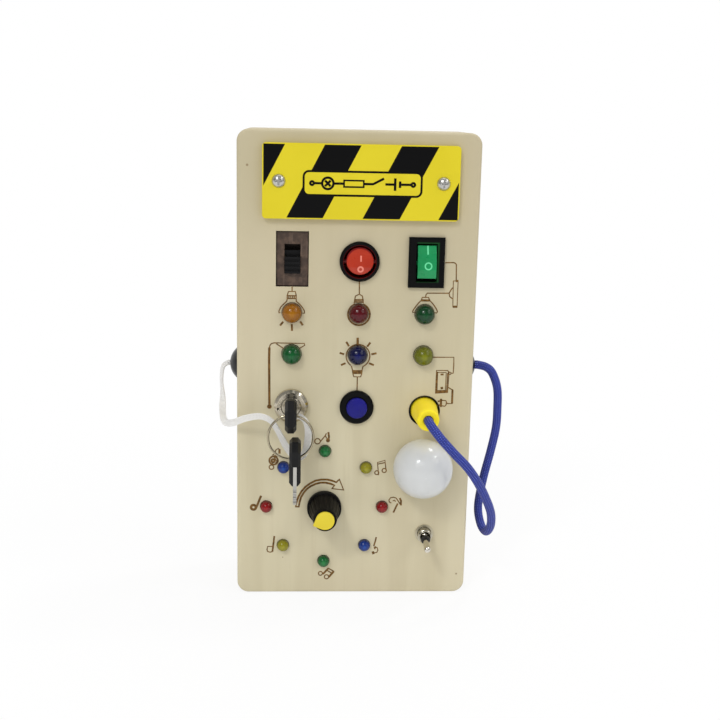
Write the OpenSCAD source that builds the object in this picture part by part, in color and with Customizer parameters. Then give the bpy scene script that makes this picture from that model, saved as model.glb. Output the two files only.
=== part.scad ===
// Wooden busy board: a box with switches, a key lock, a plug on a cord,
// a rotary switch in a ring of lamps, a round bulb and a warning plate.
// Millimetres. The front faces -Y, up is +Z, the origin is the centre of the base.

/* [Board] */
// Width of the box
board_w = 100; // [90:1:130]
// Height of the box
board_h = 200; // [180:1:240]
// Depth of the box, front to back
board_d = 40; // [38:1:60]
// Radius of the four corners seen from the front
corner_r = 5; // [4:0.5:10]
// Radius of the eased front and back edges
edge_r = 1.2; // [0.6:0.1:2]
// Thickness of the front panel
panel_t = 4; // [3:0.5:5]
// Thickness of the side, top and bottom walls
wall_t = 6; // [5:0.5:8]
// Thickness of the back panel
back_t = 3; // [2.5:0.5:4]
// Side of the square glue blocks in the corners
block_w = 9; // [8:0.5:12]

/* [Layout] */
// Middle column, right of the box's centre line
column_mid = 0.7; // [-3:0.1:3]
// Distance between the columns
column_step = 27.8; // [26:0.1:30]
// Distance from the warning plate down to the row of switches
switch_drop = 17.3; // [15:0.1:20]
// How much higher the slide switch sits than the other two
slide_lift = 0.6; // [0:0.1:1.5]
// Distance from the switches down to the upper row of lamps
lamp_drop = 21.8; // [20:0.1:24]
// Distance between the two rows of lamps
lamp_row_step = 17.7; // [15:0.1:19]
// Distance from the lower row of lamps down to the push button
button_drop = 22.7; // [20:0.1:25]
// Distance from the lower row of lamps down to the key lock
lock_drop = 22.2; // [20:0.1:25]
// Distance from the lower row of lamps down to the plug's socket
plug_drop = 24.3; // [22:0.1:26]
// Place of the plug's socket, across
plug_x = 29.8; // [28:0.1:32]
// Distance from the plug's socket down to the round bulb
bulb_drop = 24; // [22:0.1:26]
// Place of the round bulb, across
bulb_x = 29.4; // [27:0.2:32]
// Distance from the round bulb down to the lever switch
toggle_drop = 31.5; // [28:0.1:33]
// Place of the lever switch, across
toggle_x = 31.6; // [28:0.2:34]
// Distance from the key lock down to the rotary knob
knob_drop = 45.3; // [43:0.1:48]
// Place of the rotary knob, across
knob_x = -12.4; // [-15:0.2:-9]
// Radius of the ring of small lamps round the knob
ring_of_lamps_r = 25.1; // [22:0.1:26]
// Distance from the lower row of lamps down to the cord outlets in the sides
outlet_drop = 8.3; // [5:0.1:12]

/* [Warning plate] */
// Width of the plate
sign_w = 80.6; // [74:0.2:90]
// Height of the plate
sign_h = 30.5; // [26:0.5:34]
// Thickness of the plate
sign_t = 2.4; // [1.5:0.1:4]
// Radius of the plate's corners
sign_r = 1.6; // [1:0.1:4]
// Gap between the plate's top edge and the box's top
sign_drop = 5.2; // [4:0.2:8]
// Distance between the plate's two screws
sign_pitch = 67.2; // [60:0.2:68]

/* [Lamps] */
// Radius of a large lamp
lamp_r = 4.2; // [3:0.1:4.5]
// Straight length of a large lamp in front of the panel
lamp_proud = 1.2; // [0.4:0.1:3]
// Radius of a small lamp
small_r = 2.6; // [1.5:0.1:3]
// Straight length of a small lamp in front of the panel
small_proud = 0.6; // [0.2:0.1:2]

/* [Slide switch] */
// Width of the window in the panel
window_w = 13.5; // [13:0.1:15]
// Height of the window in the panel
window_h = 23; // [22:0.1:24]
// Width of the opening the slider shows through
slot_w = 6.6; // [6:0.1:8]
// Height of the opening the slider shows through
slot_h = 12.2; // [11:0.1:13]
// Height of the slider's grip
slider_h = 7; // [6:0.1:8]

/* [Rocker switches] */
// Radius of the round switch's rim
round_rim_r = 8.3; // [8:0.1:9]
// Radius of the round paddle
round_paddle_r = 5.6; // [5:0.1:6]
// Width of the square switch's rim
square_rim_w = 15; // [14:0.1:17]
// Height of the square switch's rim
square_rim_h = 21; // [20:0.1:23]
// Width of the square switch's paddle
square_paddle_w = 7.7; // [7:0.1:9]
// Height of the square switch's paddle
square_paddle_h = 13.6; // [12:0.1:14]
// How far the rims stand in front of the panel
rim_t = 2; // [1.6:0.1:2.4]
// Angle a paddle tilts to each side of its middle
rocker_tilt = 9; // [6:0.5:10]

/* [Push button] */
// Radius of the button's rim
button_rim_r = 7.2; // [6.8:0.1:9]
// Radius of the button's cap
button_cap_r = 4.4; // [3.5:0.1:4.8]
// How far the cap stands in front of its rim
button_proud = 2; // [1.8:0.1:3]
// Travel of the cap
button_travel = 1.5; // [1:0.1:1.7]

/* [Key lock] */
// Radius of the lock's head
lock_head_r = 7.15; // [6.8:0.05:9]
// Radius of the turning cylinder
lock_plug_r = 4.2; // [4:0.1:5]
// Thickness of the key's metal
key_t = 1.5; // [1.3:0.1:2.2]
// Width of the key's blade
blade_w = 6.4; // [5:0.1:6.8]
// Length of the blade in front of its grip
blade_l = 9; // [8:0.5:12]
// Thickness of the key's plastic grip
grip_t = 4.8; // [4:0.1:6]
// Length of the key's plastic grip
grip_l = 19; // [18:0.5:22]
// Width of the grip at its widest
grip_w = 14; // [12:0.5:16]
// Radius of the wire ring, to the middle of its wire
ring_r = 9.4; // [9:0.1:12]
// Radius of the ring's wire
ring_wire_r = 0.5; // [0.4:0.05:0.6]

/* [Plug and cords] */
// Radius of the plug's yellow body
plug_r = 5.85; // [5:0.05:6.5]
// Radius of its front end
plug_tip_r = 4.65; // [4:0.05:5.5]
// Length of the plug in front of the panel
plug_l = 16; // [14:0.5:18]
// Radius of the plug's pin
pin_r = 1.75; // [1.25:0.05:2]
// Length of the plug's pin
pin_l = 13; // [10:0.5:14]
// Radius of the blue cord
cord_r = 1.9; // [1.5:0.1:1.9]
// Radius of the white lace
lace_r = 1.2; // [0.9:0.1:1.2]
// Radius of the black outlet domes
outlet_r = 7.4; // [6:0.1:9]

/* [Bulb] */
// Radius of the bulb's globe
bulb_r = 12.75; // [11:0.25:14]
// Distance from the panel to the globe's centre
bulb_lift = 6; // [4:0.5:7]
// Radius of the bulb's neck
bulb_neck_r = 9; // [8:0.25:9.5]
// Wall of the bulb
bulb_wall = 1.2; // [0.8:0.1:2]

/* [Lever switch] */
// Radius of the threaded collar
collar_r = 3; // [2.5:0.1:4]
// How far the collar stands in front of the panel
collar_l = 4.6; // [4:0.1:6]
// Length of the lever from its pivot
lever_l = 12.4; // [10:0.1:16]
// Angle of the lever to each side of its middle
lever_tilt = 12; // [8:0.5:15]

/* [Rotary knob] */
// Radius of the knob's skirt
knob_r = 7.4; // [7:0.1:8.5]
// Radius of the knob's top
knob_top_r = 4.7; // [4.5:0.1:6]
// Height of the knob above the panel
knob_h = 17.5; // [15:0.5:20]
// Radius of the pointer cap's round part
pointer_r = 3.95; // [3.5:0.05:4.3]
// Distance from the knob's axis to the pointer's tip
pointer_l = 5.5; // [4.9:0.1:6]
// Direction of the pointer at rest, from the right, counter-clockwise
pointer_angle = 204; // [180:1:270]
// Number of grip flutes round the knob
flute_count = 18; // [12:1:24]

/* [Battery box] */
// Width of the battery lid's opening
battery_w = 62; // [62:0.5:68]
// Height of the battery lid's opening
battery_h = 34; // [33:0.5:38]
// Distance from the lower row of lamps up to the battery box's centre
battery_lift = 7.5; // [6:0.1:9]

/* [Hidden] */
$fn = 64;
fit = 0.1; // clearance round a piece that stays put
run = 0.05; // clearance round a piece that turns or slides
free = 0.3; // clearance round a piece that moves freely
front_y = -board_d / 2;
cavity_front = -panel_t; // back of the front panel, measured from the front face
over = 1; // how far a cutter reaches past what it cuts
drawn_w = 100; // box's width and height that the layout's distances are written for
drawn_h = 200;
spread = board_w / drawn_w;
rise = board_h / drawn_h;
column_left = column_mid - column_step;
column_right = column_mid + column_step;
sign_z = board_h - sign_drop - sign_h / 2;
switch_z = sign_z - sign_h / 2 - switch_drop * rise;
slide_z = switch_z + slide_lift;
lamp_upper_z = switch_z - lamp_drop * rise;
lamp_lower_z = lamp_upper_z - lamp_row_step * rise;
button_z = lamp_lower_z - button_drop * rise;
lock_z = lamp_lower_z - lock_drop * rise;
plug_z = lamp_lower_z - plug_drop * rise;
bulb_z = plug_z - bulb_drop * rise;
toggle_z = bulb_z - toggle_drop * rise;
knob_z = lock_z - knob_drop * rise;
outlet_z = lamp_lower_z - outlet_drop * rise;
battery_z = lamp_lower_z + battery_lift * rise;

// Lamps
small_lamps = ["blue", "green", "gold", "red", "blue", "green", "gold", "red"];
small_count = len(small_lamps);
first_lamp_angle = 135; // from the right, counter-clockwise
lamp_flange = 0.6;
lamp_flange_t = 1;

// Slide switch
phenolic_sink = 0.9; // plate's face below the front face
phenolic_t = 1.6;
phenolic_gap = 0.3;
can_w = 12;
can_h = 20;
can_d = 8;
can_wall = 0.8;
slider_foot = 2.4; // thickness of the slider's foot inside the can
slider_foot_lip = 2.4; // how far the foot reaches past the grip
slider_foot_side = 1; // and to each side of it
slider_proud = 0.6;
slider_grooves = 3;
groove_share = 0.7; // depth of a groove, as a share of its width

// Rocker switches
rocker_body_d = 13; // depth behind the panel's front face
rocker_wall = 0.75;
paddle_gap = 1.15; // room round a paddle for its swing
pivot_sink = 0.5; // pivot below the front face
pivot_r = 1;
paddle_rise = 3.8; // paddle's flat middle above the front face
facet_drop = 1.3; // its ends below that flat
facet_share = 0.5; // part of the half height that is flat
root_share = 0.7; // part of it that the underside has
paddle_root = 4; // paddle's underside below the front face
paddle_side_gap = 0.5; // room beside the square paddle
rocker_floor = 2;
pin_depth = 1; // length of a pivot pin inside the square switch's wall
terminal_w = 4.8;
terminal_t = 0.8;
terminal_l = 6;
terminal_step = 6;
round_terminal_step = 7;
round_body_r = round_paddle_r + paddle_gap + rocker_wall;
square_side_wall = 2.1;
square_end_wall = 1.3;
square_slot_w = square_paddle_w + 2 * paddle_side_gap;
square_slot_h = square_paddle_h + 2 * paddle_gap;
square_body_w = square_slot_w + 2 * square_side_wall;
square_body_h = square_slot_h + 2 * square_end_wall;

// Push button
button_body_r = 5.9;
button_rim_t = 1.8;
button_body_d = 16;
button_floor = 2;
cap_foot = 5; // cap's foot below the front face
spring_wire_r = 0.35;
spring_turns = 5;
spring_steps = 14; // straight pieces in a turn
spring_gap = 0.2; // room round the spring
spring_inset = 1.2;
spring_r = button_cap_r - spring_inset;
cap_rise = 0.4; // dome on the cap
button_nut_af = 14;
lock_nut_af = 15;
nut_t = 2.5;

// Key lock
lock_head_t = 3.2;
lock_body_r = 5.9;
lock_body_d = 18;
lock_floor = 1.6; // closed end behind the turning cylinder
lock_face = lock_head_t + 0.2; // front of the turning cylinder
lock_chamfer = 1.1;
mark_out = 5.4; // dimple on the lock's head, from its centre
mark_r = 0.55;
mark_d = 0.5;
mark_angle = 192;
keyway_d = blade_l + 1.5;
grip_start = lock_face + 0.2;
blade_tip = blade_w / 4;
cut_r = 0.6; // smallest of the key's cuts
cut_growth = 0.15;
cut_first = 2.4;
cut_step = 2.2;
cut_count = 3;
fork_l = 10; // part of the grip where the metal's edge shows
neck_w = 7.8;
fork_w = 8.8;
eye_from_end = 8.5;
eye_r = 1.8;
ring_play = 0.7; // wire's centre below the eye's centre
key_eye_out = grip_start + grip_l - eye_from_end;
spare_shift = 1.9; // spare key slid along the wire
spare_play = 0.1; // spare key's eye below the wire's centre
spare_drop = ring_play + 2 * ring_r + spare_play; // from the lock's axis down to that eye
grip_chamfer = 1.2;
grip_corner = 3.4; // cut corners at the grip's wide end

// Plug and outlets
cup_r = plug_r + 0.45;
cup_d = 2.4;
cup_floor = 1.2;
socket_floor = 1.5;
socket_r = cup_r + 0.3;
socket_body_r = 4.6;
socket_d = 18;
socket_proud = 0.25;
plug_seat = 2.3; // plug's back below the front face
cord_hole_d = 2;
cord_gap = 0.25; // room round a cord in its hole
plug_nose = 0.9;
pin_point_l = 1.2;
pin_groove_l = 0.8;
outlet_neck_r = 4.1;
outlet_proud = 4;
outlet_hole_d = 3.8;

// Bulb, lever and rotary switches
base_flange_r = 11.5;
base_t = 3;
base_plug_h = 3;
diode_r = 2.5;
diode_l = 3;
diode_rise = 2.2;
washer_r = 4.05;
washer_t = 0.5;
toggle_body_w = 8;
toggle_body_h = 13;
toggle_body_d = 9;
toggle_pin_w = 1.2;
toggle_pin_l = 4;
toggle_pin_step = 4.5;
collar_chamfer = 0.8;
collar_narrowing = 0.7;
collar_wall = 0.75;
collar_floor = 1.5;
lever_pivot = 2.5; // pivot in front of the front face
lever_ball_r = 1.5;
lever_root_r = 0.9;
lever_tip_r = 1.45;
sleeve_r = 1.95;
sleeve_from = 2.9; // lever's black sleeve, measured from the pivot
sleeve_to = 4;
bushing_r = 3.5;
bushing_l = 4;
shaft_r = 3;
shaft_l = 12;
rotary_r = 8.4;
rotary_d = 9;
knob_lift = 0.8;
knob_skirt_h = 2.2;
knob_nut_af = 10;
knob_nut_t = 2;
knob_recess_r = 6.1;
knob_recess_h = 2.6;
knob_step = 0.7; // knob's body in from its skirt
knob_step_h = 0.5;
knob_edge = 1;
knob_crown = 0.3;
flute_r = 0.9;
flute_out = 0.65;
flute_short = 2.5; // flutes end this far below the knob's top
shaft_flat = 0.6; // flat's distance from the axis, as a share of the radius
flat_above = 0.5;
cap_t = 1.2;
cap_sink = 0.7;
pointer_steps = 48; // straight pieces of the pointer cap's arc

// Fasteners
sign_screw_r = 1.3;
sign_head_r = 2.8;
sign_head_t = 1.7;
sign_screw_grip = 3;
back_screw_r = 1.5;
back_screw_head_r = 3;
back_screw_l = 14;
back_screw_in = 7; // screw's centre in from the box's edges
recess_w = 0.7;
recess_d = 0.9;

// Battery box
tray_wall = 1.5;
tray_d = 18;
tray_flange = 4;
tray_flange_t = 1.8;
lid_t = 1.8;
lid_ledge = 1.2;
cell_r = 7.1;
cell_l = 49;
cell_nub_r = 2.6;
cell_nub_l = 1.2;
lid_screw_r = 1.1;
lid_screw_head_r = 2;
lid_screw_l = 4.8;
boss_r = 2.4;
boss_root = 0.8; // boss runs this far into the tray's end wall
boss_x = battery_w / 2 - tray_wall - lid_ledge - boss_r + boss_root;
cell_shift = battery_w / 2 - tray_wall - lid_ledge - cell_l / 2 - cell_nub_l - fit; // away from the boss
thumb_ribs = 5;
thumb_step = 1.6;
thumb_w = 0.8;
thumb_l = 8;
thumb_d = 0.6;
thumb_in = 4;

// Middle line of the blue cord, from the plug to the right outlet
cord_drawn = [
    [29.8, -34.1, 83.2], [29.8, -36.1, 83.2], [29.8, -37.2, 83.2], [30.5, -40.9, 82.3],
    [32.5, -43.9, 80],
    [35.3, -45, 76.7], [40.3, -44.2, 71.2], [46, -41.8, 64.9], [51, -38.2, 57.5], [55.5, -33, 49],
    [59.5, -26, 39.5], [61, -19, 31], [60.3, -12, 25.5], [58.8, -6, 27],
    [58, -2, 34], [60, 0, 46], [63, 0, 60], [64.8, 0, 70.5],
    [65, 0, 80], [64.5, 0, 88.5], [62.1, 0, 95.2], [59.2, 0, 98.1],
    [55.2, 0, 99.2], [54.1, 0, 99.2], [50.25, 0, 99.2]
];
// Middle line of the white lace, from the left outlet to the key in the lock
lace_drawn = [
    [-50.25, 0, 99.2], [-54.05, 0, 99.2], [-54.7, 0, 99.2], [-57, -0.8, 97.6],
    [-57.6, -3.4, 93], [-56.9, -8, 86], [-56.5, -14, 80], [-55, -20, 77.5], [-51.5, -25, 78.5],
    [-46, -29, 81.5], [-40, -31.5, 83], [-35.5, -32.5, 81.5], [-33, -31, 77.5],
    [-31, -28.5, 73], [-29, -26.5, 68.5], [-26, -26.5, 64.8], [-23, -27.5, 64.2],
    [-20.8, -29.2, 67.6], [-19.8, -30.6, 74.6], [-20.4, -31.8, 79.6], [-22, -32.2, 82.4],
    [-24, -32.2, 83.4]
];
// Where the plug's mouth, the outlet and the first key's eye are for those points
drawn_mouth = [29.8, -36, 83.2];
drawn_outlet = [50, 0, 99.2];
drawn_eye = [-27.1, -35.6, 85.3];
mouth_shift = [plug_x * spread, front_y - plug_l, plug_z] - drawn_mouth;
outlet_shift = [board_w / 2, 0, outlet_z] - drawn_outlet;
left_outlet_shift = [-outlet_shift.x, outlet_shift.y, outlet_shift.z];
eye_shift = [column_left * spread, front_y - key_eye_out, lock_z] - drawn_eye;
end_held = 2; // points after the first that keep to an outlet or to the plug's mouth
keys_held = 11; // points before the last that keep to the keys
cord_steps = 3; // straight pieces between two points
cord_sides = 8;
cord_points = moved(cord_drawn, mouth_shift, outlet_shift, end_held, end_held);
lace_points = moved(lace_drawn, left_outlet_shift, eye_shift, end_held, keys_held);

// ---------- frames and shared shapes ----------

// Children are drawn with z out of the front face and y up. Places across spread with the box.
module on_front(x, z) {
    translate([x * spread, front_y, z]) rotate([90, 0, 0]) children();
}

// Children are drawn with z out of the back face and y up.
module on_back(x, z) {
    translate([x, -front_y, z]) rotate([90, 0, 180]) children();
}

// Children are drawn with z out of the right (1) or left (-1) side.
module on_side(side, z) {
    translate([side * board_w / 2, 0, z]) rotate([0, side * 90, 0]) children();
}

// A solid of revolution from a bottom height to a top height, plain walls.
module ring(outer, inner, low, high) {
    translate([0, 0, low])
        difference() {
            cylinder(r = outer, h = high - low);
            translate([0, 0, -over]) cylinder(r = inner, h = high - low + 2 * over);
        }
}

// Outline of a rectangle with round corners, centred.
module round_rect(w, h, r) {
    square([w - 2 * r, h], center = true);
    square([w, h - 2 * r], center = true);
    for (sx = [-1, 1], sy = [-1, 1])
        translate([sx * (w / 2 - r), sy * (h / 2 - r)]) circle(r = r);
}

// Side view of a board whose top edges are eased.
module eased_profile(w, t) {
    translate([-w / 2, 0]) square([w, t - edge_r]);
    translate([-w / 2 + edge_r, 0]) square([w - 2 * edge_r, t]);
    for (s = [-1, 1])
        translate([s * (w / 2 - edge_r), t - edge_r]) circle(r = edge_r, $fn = 32);
}

// Half of that side view, for a corner.
module eased_corner(t) {
    square([corner_r, t - edge_r]);
    square([corner_r - edge_r, t]);
    translate([corner_r - edge_r, t - edge_r]) circle(r = edge_r, $fn = 32);
}

// A full-size board standing on y = 0, its eased face at z = t.
module eased_board(t) {
    for (s = [-1, 1], y = [corner_r, board_h - corner_r])
        translate([s * (board_w / 2 - corner_r), y, 0]) rotate_extrude() eased_corner(t);
    translate([0, board_h - corner_r, 0]) rotate([90, 0, 0])
        linear_extrude(board_h - 2 * corner_r) eased_profile(board_w, t);
    translate([-board_w / 2 + corner_r, board_h / 2, 0]) rotate([90, 0, 90])
        linear_extrude(board_w - 2 * corner_r) eased_profile(board_h, t);
}

// A domed disc: a cap of the given rise on a round base.
module dome(r, rise) {
    ball_r = (r * r + rise * rise) / (2 * rise);
    rotate_extrude()
        intersection() {
            translate([0, rise - ball_r]) circle(r = ball_r, $fn = 96);
            square([r, rise]);
        }
}

// A disc whose top edge is chamfered.
module chamfered_disc(r, t, c) {
    cylinder(r = r, h = t - c);
    translate([0, 0, t - c]) cylinder(r1 = r, r2 = r - c, h = c);
}

// A hexagon nut between two heights, measured over its flats.
module hex_nut(across, bore, low, high) {
    translate([0, 0, low])
        difference() {
            cylinder(d = across / cos(30), h = high - low, $fn = 6);
            translate([0, 0, -over]) cylinder(r = bore, h = high - low + 2 * over);
        }
}

// A cross recess cut down from z = 0.
module cross_recess(size) {
    for (a = [0, 90])
        rotate([0, 0, a]) translate([-size / 2, -recess_w / 2, -recess_d])
            cube([size, recess_w, recess_d + over]);
}

// A countersunk hole down from z = 0.
module countersunk_hole(r, head_r, depth) {
    translate([0, 0, -depth]) cylinder(r = r + fit, h = depth + over);
    translate([0, 0, r - head_r]) cylinder(r1 = r + fit, r2 = head_r + fit, h = head_r - r);
}

// A countersunk screw, its head flush with z = 0.
module countersunk_screw(r, head_r, length, recess) {
    difference() {
        union() {
            translate([0, 0, r - head_r]) cylinder(r1 = r, r2 = head_r, h = head_r - r);
            translate([0, 0, -length]) cylinder(r = r, h = length + r - head_r);
        }
        cross_recess(recess);
    }
}

// Flat terminals of a switch, below z = 0, one at each height.
module terminals(heights, w, length) {
    for (y = heights)
        translate([-w / 2, y - terminal_t / 2, -length]) cube([w, terminal_t, length]);
}

// ---------- cords ----------

function unit(v) = v / norm(v);

// Point on a smooth curve through four neighbours, t from 0 to 1 between b and c.
function spline_at(a, b, c, d, t) =
    0.5 * (2 * b + (c - a) * t + (2 * a - 5 * b + 4 * c - d) * t * t
           + (3 * b - a - 3 * c + d) * t * t * t);

function smooth_line(pts, steps) =
    let (n = len(pts))
    [for (i = [0 : n - 2], k = [0 : steps - 1])
        spline_at(pts[max(i - 1, 0)], pts[i], pts[i + 1], pts[min(i + 2, n - 1)], k / steps),
     pts[n - 1]];

// A line's points moved with its two ends; the held points follow the whole shift of their end.
function moved(pts, first_shift, last_shift, first_held, last_held) =
    let (last = len(pts) - 1, between = last - first_held - last_held)
    [for (i = [0 : last])
        let (t = min(max((i - first_held) / between, 0), 1))
        pts[i] + (1 - t) * first_shift + t * last_shift];

function tangent(line, i) =
    unit(line[min(i + 1, len(line) - 1)] - line[max(i - 1, 0)]);

// Side vectors carried along the line without twist.
function side_vectors(line, i = 0, sides = []) =
    i == len(line) ? sides :
    let (along = tangent(line, i),
         last = i == 0 ? (abs(along.z) < 0.9 ? [0, 0, 1] : [1, 0, 0]) : sides[i - 1],
         side = unit(last - (last * along) * along))
    side_vectors(line, i + 1, concat(sides, [side]));

// A round tube swept along a line, as one closed solid.
module tube(line, r, sides) {
    count = len(line);
    across = side_vectors(line);
    points = [for (i = [0 : count - 1])
        let (up = cross(tangent(line, i), across[i]))
        for (k = [0 : sides - 1])
            line[i] + r * (cos(360 * k / sides) * across[i] + sin(360 * k / sides) * up)];
    walls = [for (i = [0 : count - 2], k = [0 : sides - 1])
        [i * sides + k, i * sides + (k + 1) % sides,
         (i + 1) * sides + (k + 1) % sides, (i + 1) * sides + k]];
    start_cap = [for (k = [sides - 1 : -1 : 0]) k];
    end_cap = [for (k = [0 : sides - 1]) (count - 1) * sides + k];
    polyhedron(points = points, faces = concat([start_cap], [for (f = walls) f], [end_cap]));
}

// ---------- box ----------

module front_panel() {
    color("wheat")
        difference() {
            on_front(0, 0) translate([0, 0, -panel_t]) eased_board(panel_t);
            panel_hole(column_left, lamp_upper_z, lamp_r + fit);
            panel_hole(column_mid, lamp_upper_z, lamp_r + fit);
            panel_hole(column_right, lamp_upper_z, lamp_r + fit);
            panel_hole(column_left, lamp_lower_z, lamp_r + fit);
            panel_hole(column_mid, lamp_lower_z, lamp_r + fit);
            panel_hole(column_right, lamp_lower_z, lamp_r + fit);
            for (i = [0 : small_count - 1])
                panel_hole(small_lamp_place(i).x, small_lamp_place(i).y, small_r + fit);
            panel_hole(column_mid, switch_z, round_body_r + fit);
            panel_hole(column_mid, button_z, button_body_r + fit);
            panel_hole(column_left, lock_z, lock_body_r + fit);
            panel_hole(plug_x, plug_z, socket_r + fit);
            panel_hole(bulb_x, bulb_z, bulb_neck_r + fit);
            panel_hole(toggle_x, toggle_z, collar_r + fit);
            panel_hole(knob_x, knob_z, bushing_r + fit);
            for (s = [-1, 1])
                at_sign_screw(s) panel_cut() circle(r = sign_screw_r + fit);
            panel_window(column_left, slide_z, window_w, window_h);
            panel_window(column_right, switch_z, square_body_w + 2 * fit, square_body_h + 2 * fit);
        }
}

// Children are an outline, cut through the front panel.
module panel_cut() {
    translate([0, 0, -panel_t - over]) linear_extrude(panel_t + 2 * over) children();
}

module panel_hole(x, z, r) {
    on_front(x, z) panel_cut() circle(r = r);
}

module panel_window(x, z, w, h) {
    on_front(x, z) panel_cut() square([w, h], center = true);
}

module box_frame() {
    depth = board_d - panel_t - back_t;
    inner_w = board_w - 2 * wall_t;
    inner_h = board_h - 2 * wall_t;
    color("burlywood")
        difference() {
            translate([0, front_y + panel_t + depth, board_h / 2]) rotate([90, 0, 0])
                linear_extrude(depth)
                    difference() {
                        round_rect(board_w, board_h, corner_r);
                        square([inner_w, inner_h - 2 * block_w], center = true);
                        square([inner_w - 2 * block_w, inner_h], center = true);
                    }
            for (s = [-1, 1])
                on_side(s, outlet_z) translate([0, 0, -wall_t - over])
                    cylinder(r = outlet_neck_r + fit, h = wall_t + 2 * over);
            for (x = [-1, 1], z = [back_screw_in, board_h - back_screw_in])
                on_back(x * (board_w / 2 - back_screw_in), z)
                    translate([0, 0, -back_screw_l - over])
                        cylinder(r = back_screw_r + fit, h = back_screw_l + over);
        }
}

module back_panel() {
    color("wheat")
        difference() {
            on_back(0, 0) translate([0, 0, -back_t]) eased_board(back_t);
            on_back(0, battery_z)
                translate([-battery_w / 2 - fit, -battery_h / 2 - fit, -back_t - over])
                    cube([battery_w + 2 * fit, battery_h + 2 * fit, back_t + 2 * over]);
            for (x = [-1, 1], z = [back_screw_in, board_h - back_screw_in])
                on_back(x * (board_w / 2 - back_screw_in), z)
                    countersunk_hole(back_screw_r, back_screw_head_r, back_t + over);
        }
}

module back_screws() {
    color("silver")
        for (x = [-1, 1], z = [back_screw_in, board_h - back_screw_in])
            on_back(x * (board_w / 2 - back_screw_in), z)
                countersunk_screw(back_screw_r, back_screw_head_r, back_screw_l,
                                  back_screw_head_r * 1.2);
}

// ---------- warning plate ----------

module sign_plate() {
    color("gold")
        on_front(column_mid, sign_z)
            difference() {
                linear_extrude(sign_t) round_rect(sign_w, sign_h, sign_r);
                for (s = [-1, 1])
                    translate([s * sign_pitch / 2, 0, -over])
                        cylinder(r = sign_screw_r + fit, h = sign_t + 2 * over);
            }
}

// Children are drawn at the plate's left (-1) or right (1) screw.
module at_sign_screw(s) {
    on_front(column_mid, sign_z) translate([s * sign_pitch / 2, 0, 0]) children();
}

module sign_screws() {
    color("silver")
        for (s = [-1, 1])
            at_sign_screw(s)
                difference() {
                    union() {
                        translate([0, 0, sign_t]) dome(sign_head_r, sign_head_t);
                        translate([0, 0, -sign_screw_grip])
                            cylinder(r = sign_screw_r, h = sign_screw_grip + sign_t + 0.2);
                    }
                    translate([0, 0, sign_t + sign_head_t]) cross_recess(sign_head_r * 1.1);
                }
}

// ---------- lamps ----------

function small_lamp_place(i) =
    let (a = first_lamp_angle - i * 360 / small_count)
    [knob_x + ring_of_lamps_r * cos(a), knob_z + ring_of_lamps_r * rise * sin(a)];

// A lamp with its flange behind the panel and a round nose.
module lamp(x, z, r, proud) {
    on_front(x, z)
        rotate_extrude() {
            translate([0, cavity_front - lamp_flange_t])
                square([r + lamp_flange, lamp_flange_t]);
            translate([0, cavity_front]) square([r, panel_t + proud]);
            translate([0, proud])
                intersection() {
                    circle(r = r);
                    translate([0, -proud]) square([r, r + proud]);
                }
        }
}

module small_lamp(i) {
    color(small_lamps[i]) lamp(small_lamp_place(i).x, small_lamp_place(i).y, small_r, small_proud);
}

// ---------- slide switch ----------

module slide_switch_body() {
    plate_w = window_w - 2 * phenolic_gap;
    plate_h = window_h - 2 * phenolic_gap;
    plate_back = -phenolic_sink - phenolic_t;
    color("saddlebrown")
        on_front(column_left, slide_z)
            difference() {
                union() {
                    translate([-plate_w / 2, -plate_h / 2, plate_back])
                        cube([plate_w, plate_h, phenolic_t]);
                    translate([-can_w / 2, -can_h / 2, plate_back - can_d])
                        cube([can_w, can_h, can_d]);
                }
                translate([-slot_w / 2, -slot_h / 2, plate_back - over])
                    cube([slot_w, slot_h, phenolic_t + 2 * over]);
                translate([-can_w / 2 + can_wall, -can_h / 2 + can_wall, plate_back - can_d + can_wall])
                    cube([can_w - 2 * can_wall, can_h - 2 * can_wall, can_d - can_wall]);
            }
}

module slide_switch_slider() {
    grip_w = slot_w - 2 * fit;
    foot_w = grip_w + 2 * slider_foot_side;
    foot_top = -phenolic_sink - phenolic_t - fit;
    low = -slot_h / 2 + fit;
    ridge = slider_h / (2 * slider_grooves + 1);
    color("black")
        on_front(column_left, slide_z)
            difference() {
                union() {
                    translate([-grip_w / 2, low, foot_top])
                        cube([grip_w, slider_h, slider_proud - foot_top]);
                    translate([-foot_w / 2, low - slider_foot_lip, foot_top - slider_foot])
                        cube([foot_w, slider_h + 2 * slider_foot_lip, slider_foot]);
                }
                for (i = [0 : slider_grooves - 1])
                    translate([-grip_w / 2 - over, low + (2 * i + 1) * ridge,
                               slider_proud - ridge * groove_share])
                        cube([grip_w + 2 * over, ridge, ridge]);
            }
}

// ---------- rocker switches ----------

// Side view of a paddle: y is up, z (drawn as y here) is out of the panel.
module paddle_profile(half_h) {
    flat = half_h * facet_share;
    polygon([
        [-half_h, paddle_rise - facet_drop], [-flat, paddle_rise],
        [flat, paddle_rise], [half_h, paddle_rise - facet_drop],
        [half_h, -pivot_sink], [half_h * root_share, -paddle_root],
        [-half_h * root_share, -paddle_root], [-half_h, -pivot_sink]
    ]);
}

// The profile drawn across a width, centred on x.
module paddle_bar(width, half_h) {
    translate([-width / 2, 0, 0]) rotate([90, 0, 90]) linear_extrude(width)
        paddle_profile(half_h);
}

// Children are turned about the pivot, top edge pressed in.
module pressed_in() {
    translate([0, 0, -pivot_sink]) rotate([-rocker_tilt, 0, 0])
        translate([0, 0, pivot_sink]) children();
}

module pivot_pins(reach, r) {
    translate([-reach, 0, -pivot_sink]) rotate([0, 90, 0]) cylinder(r = r, h = 2 * reach);
}

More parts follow.
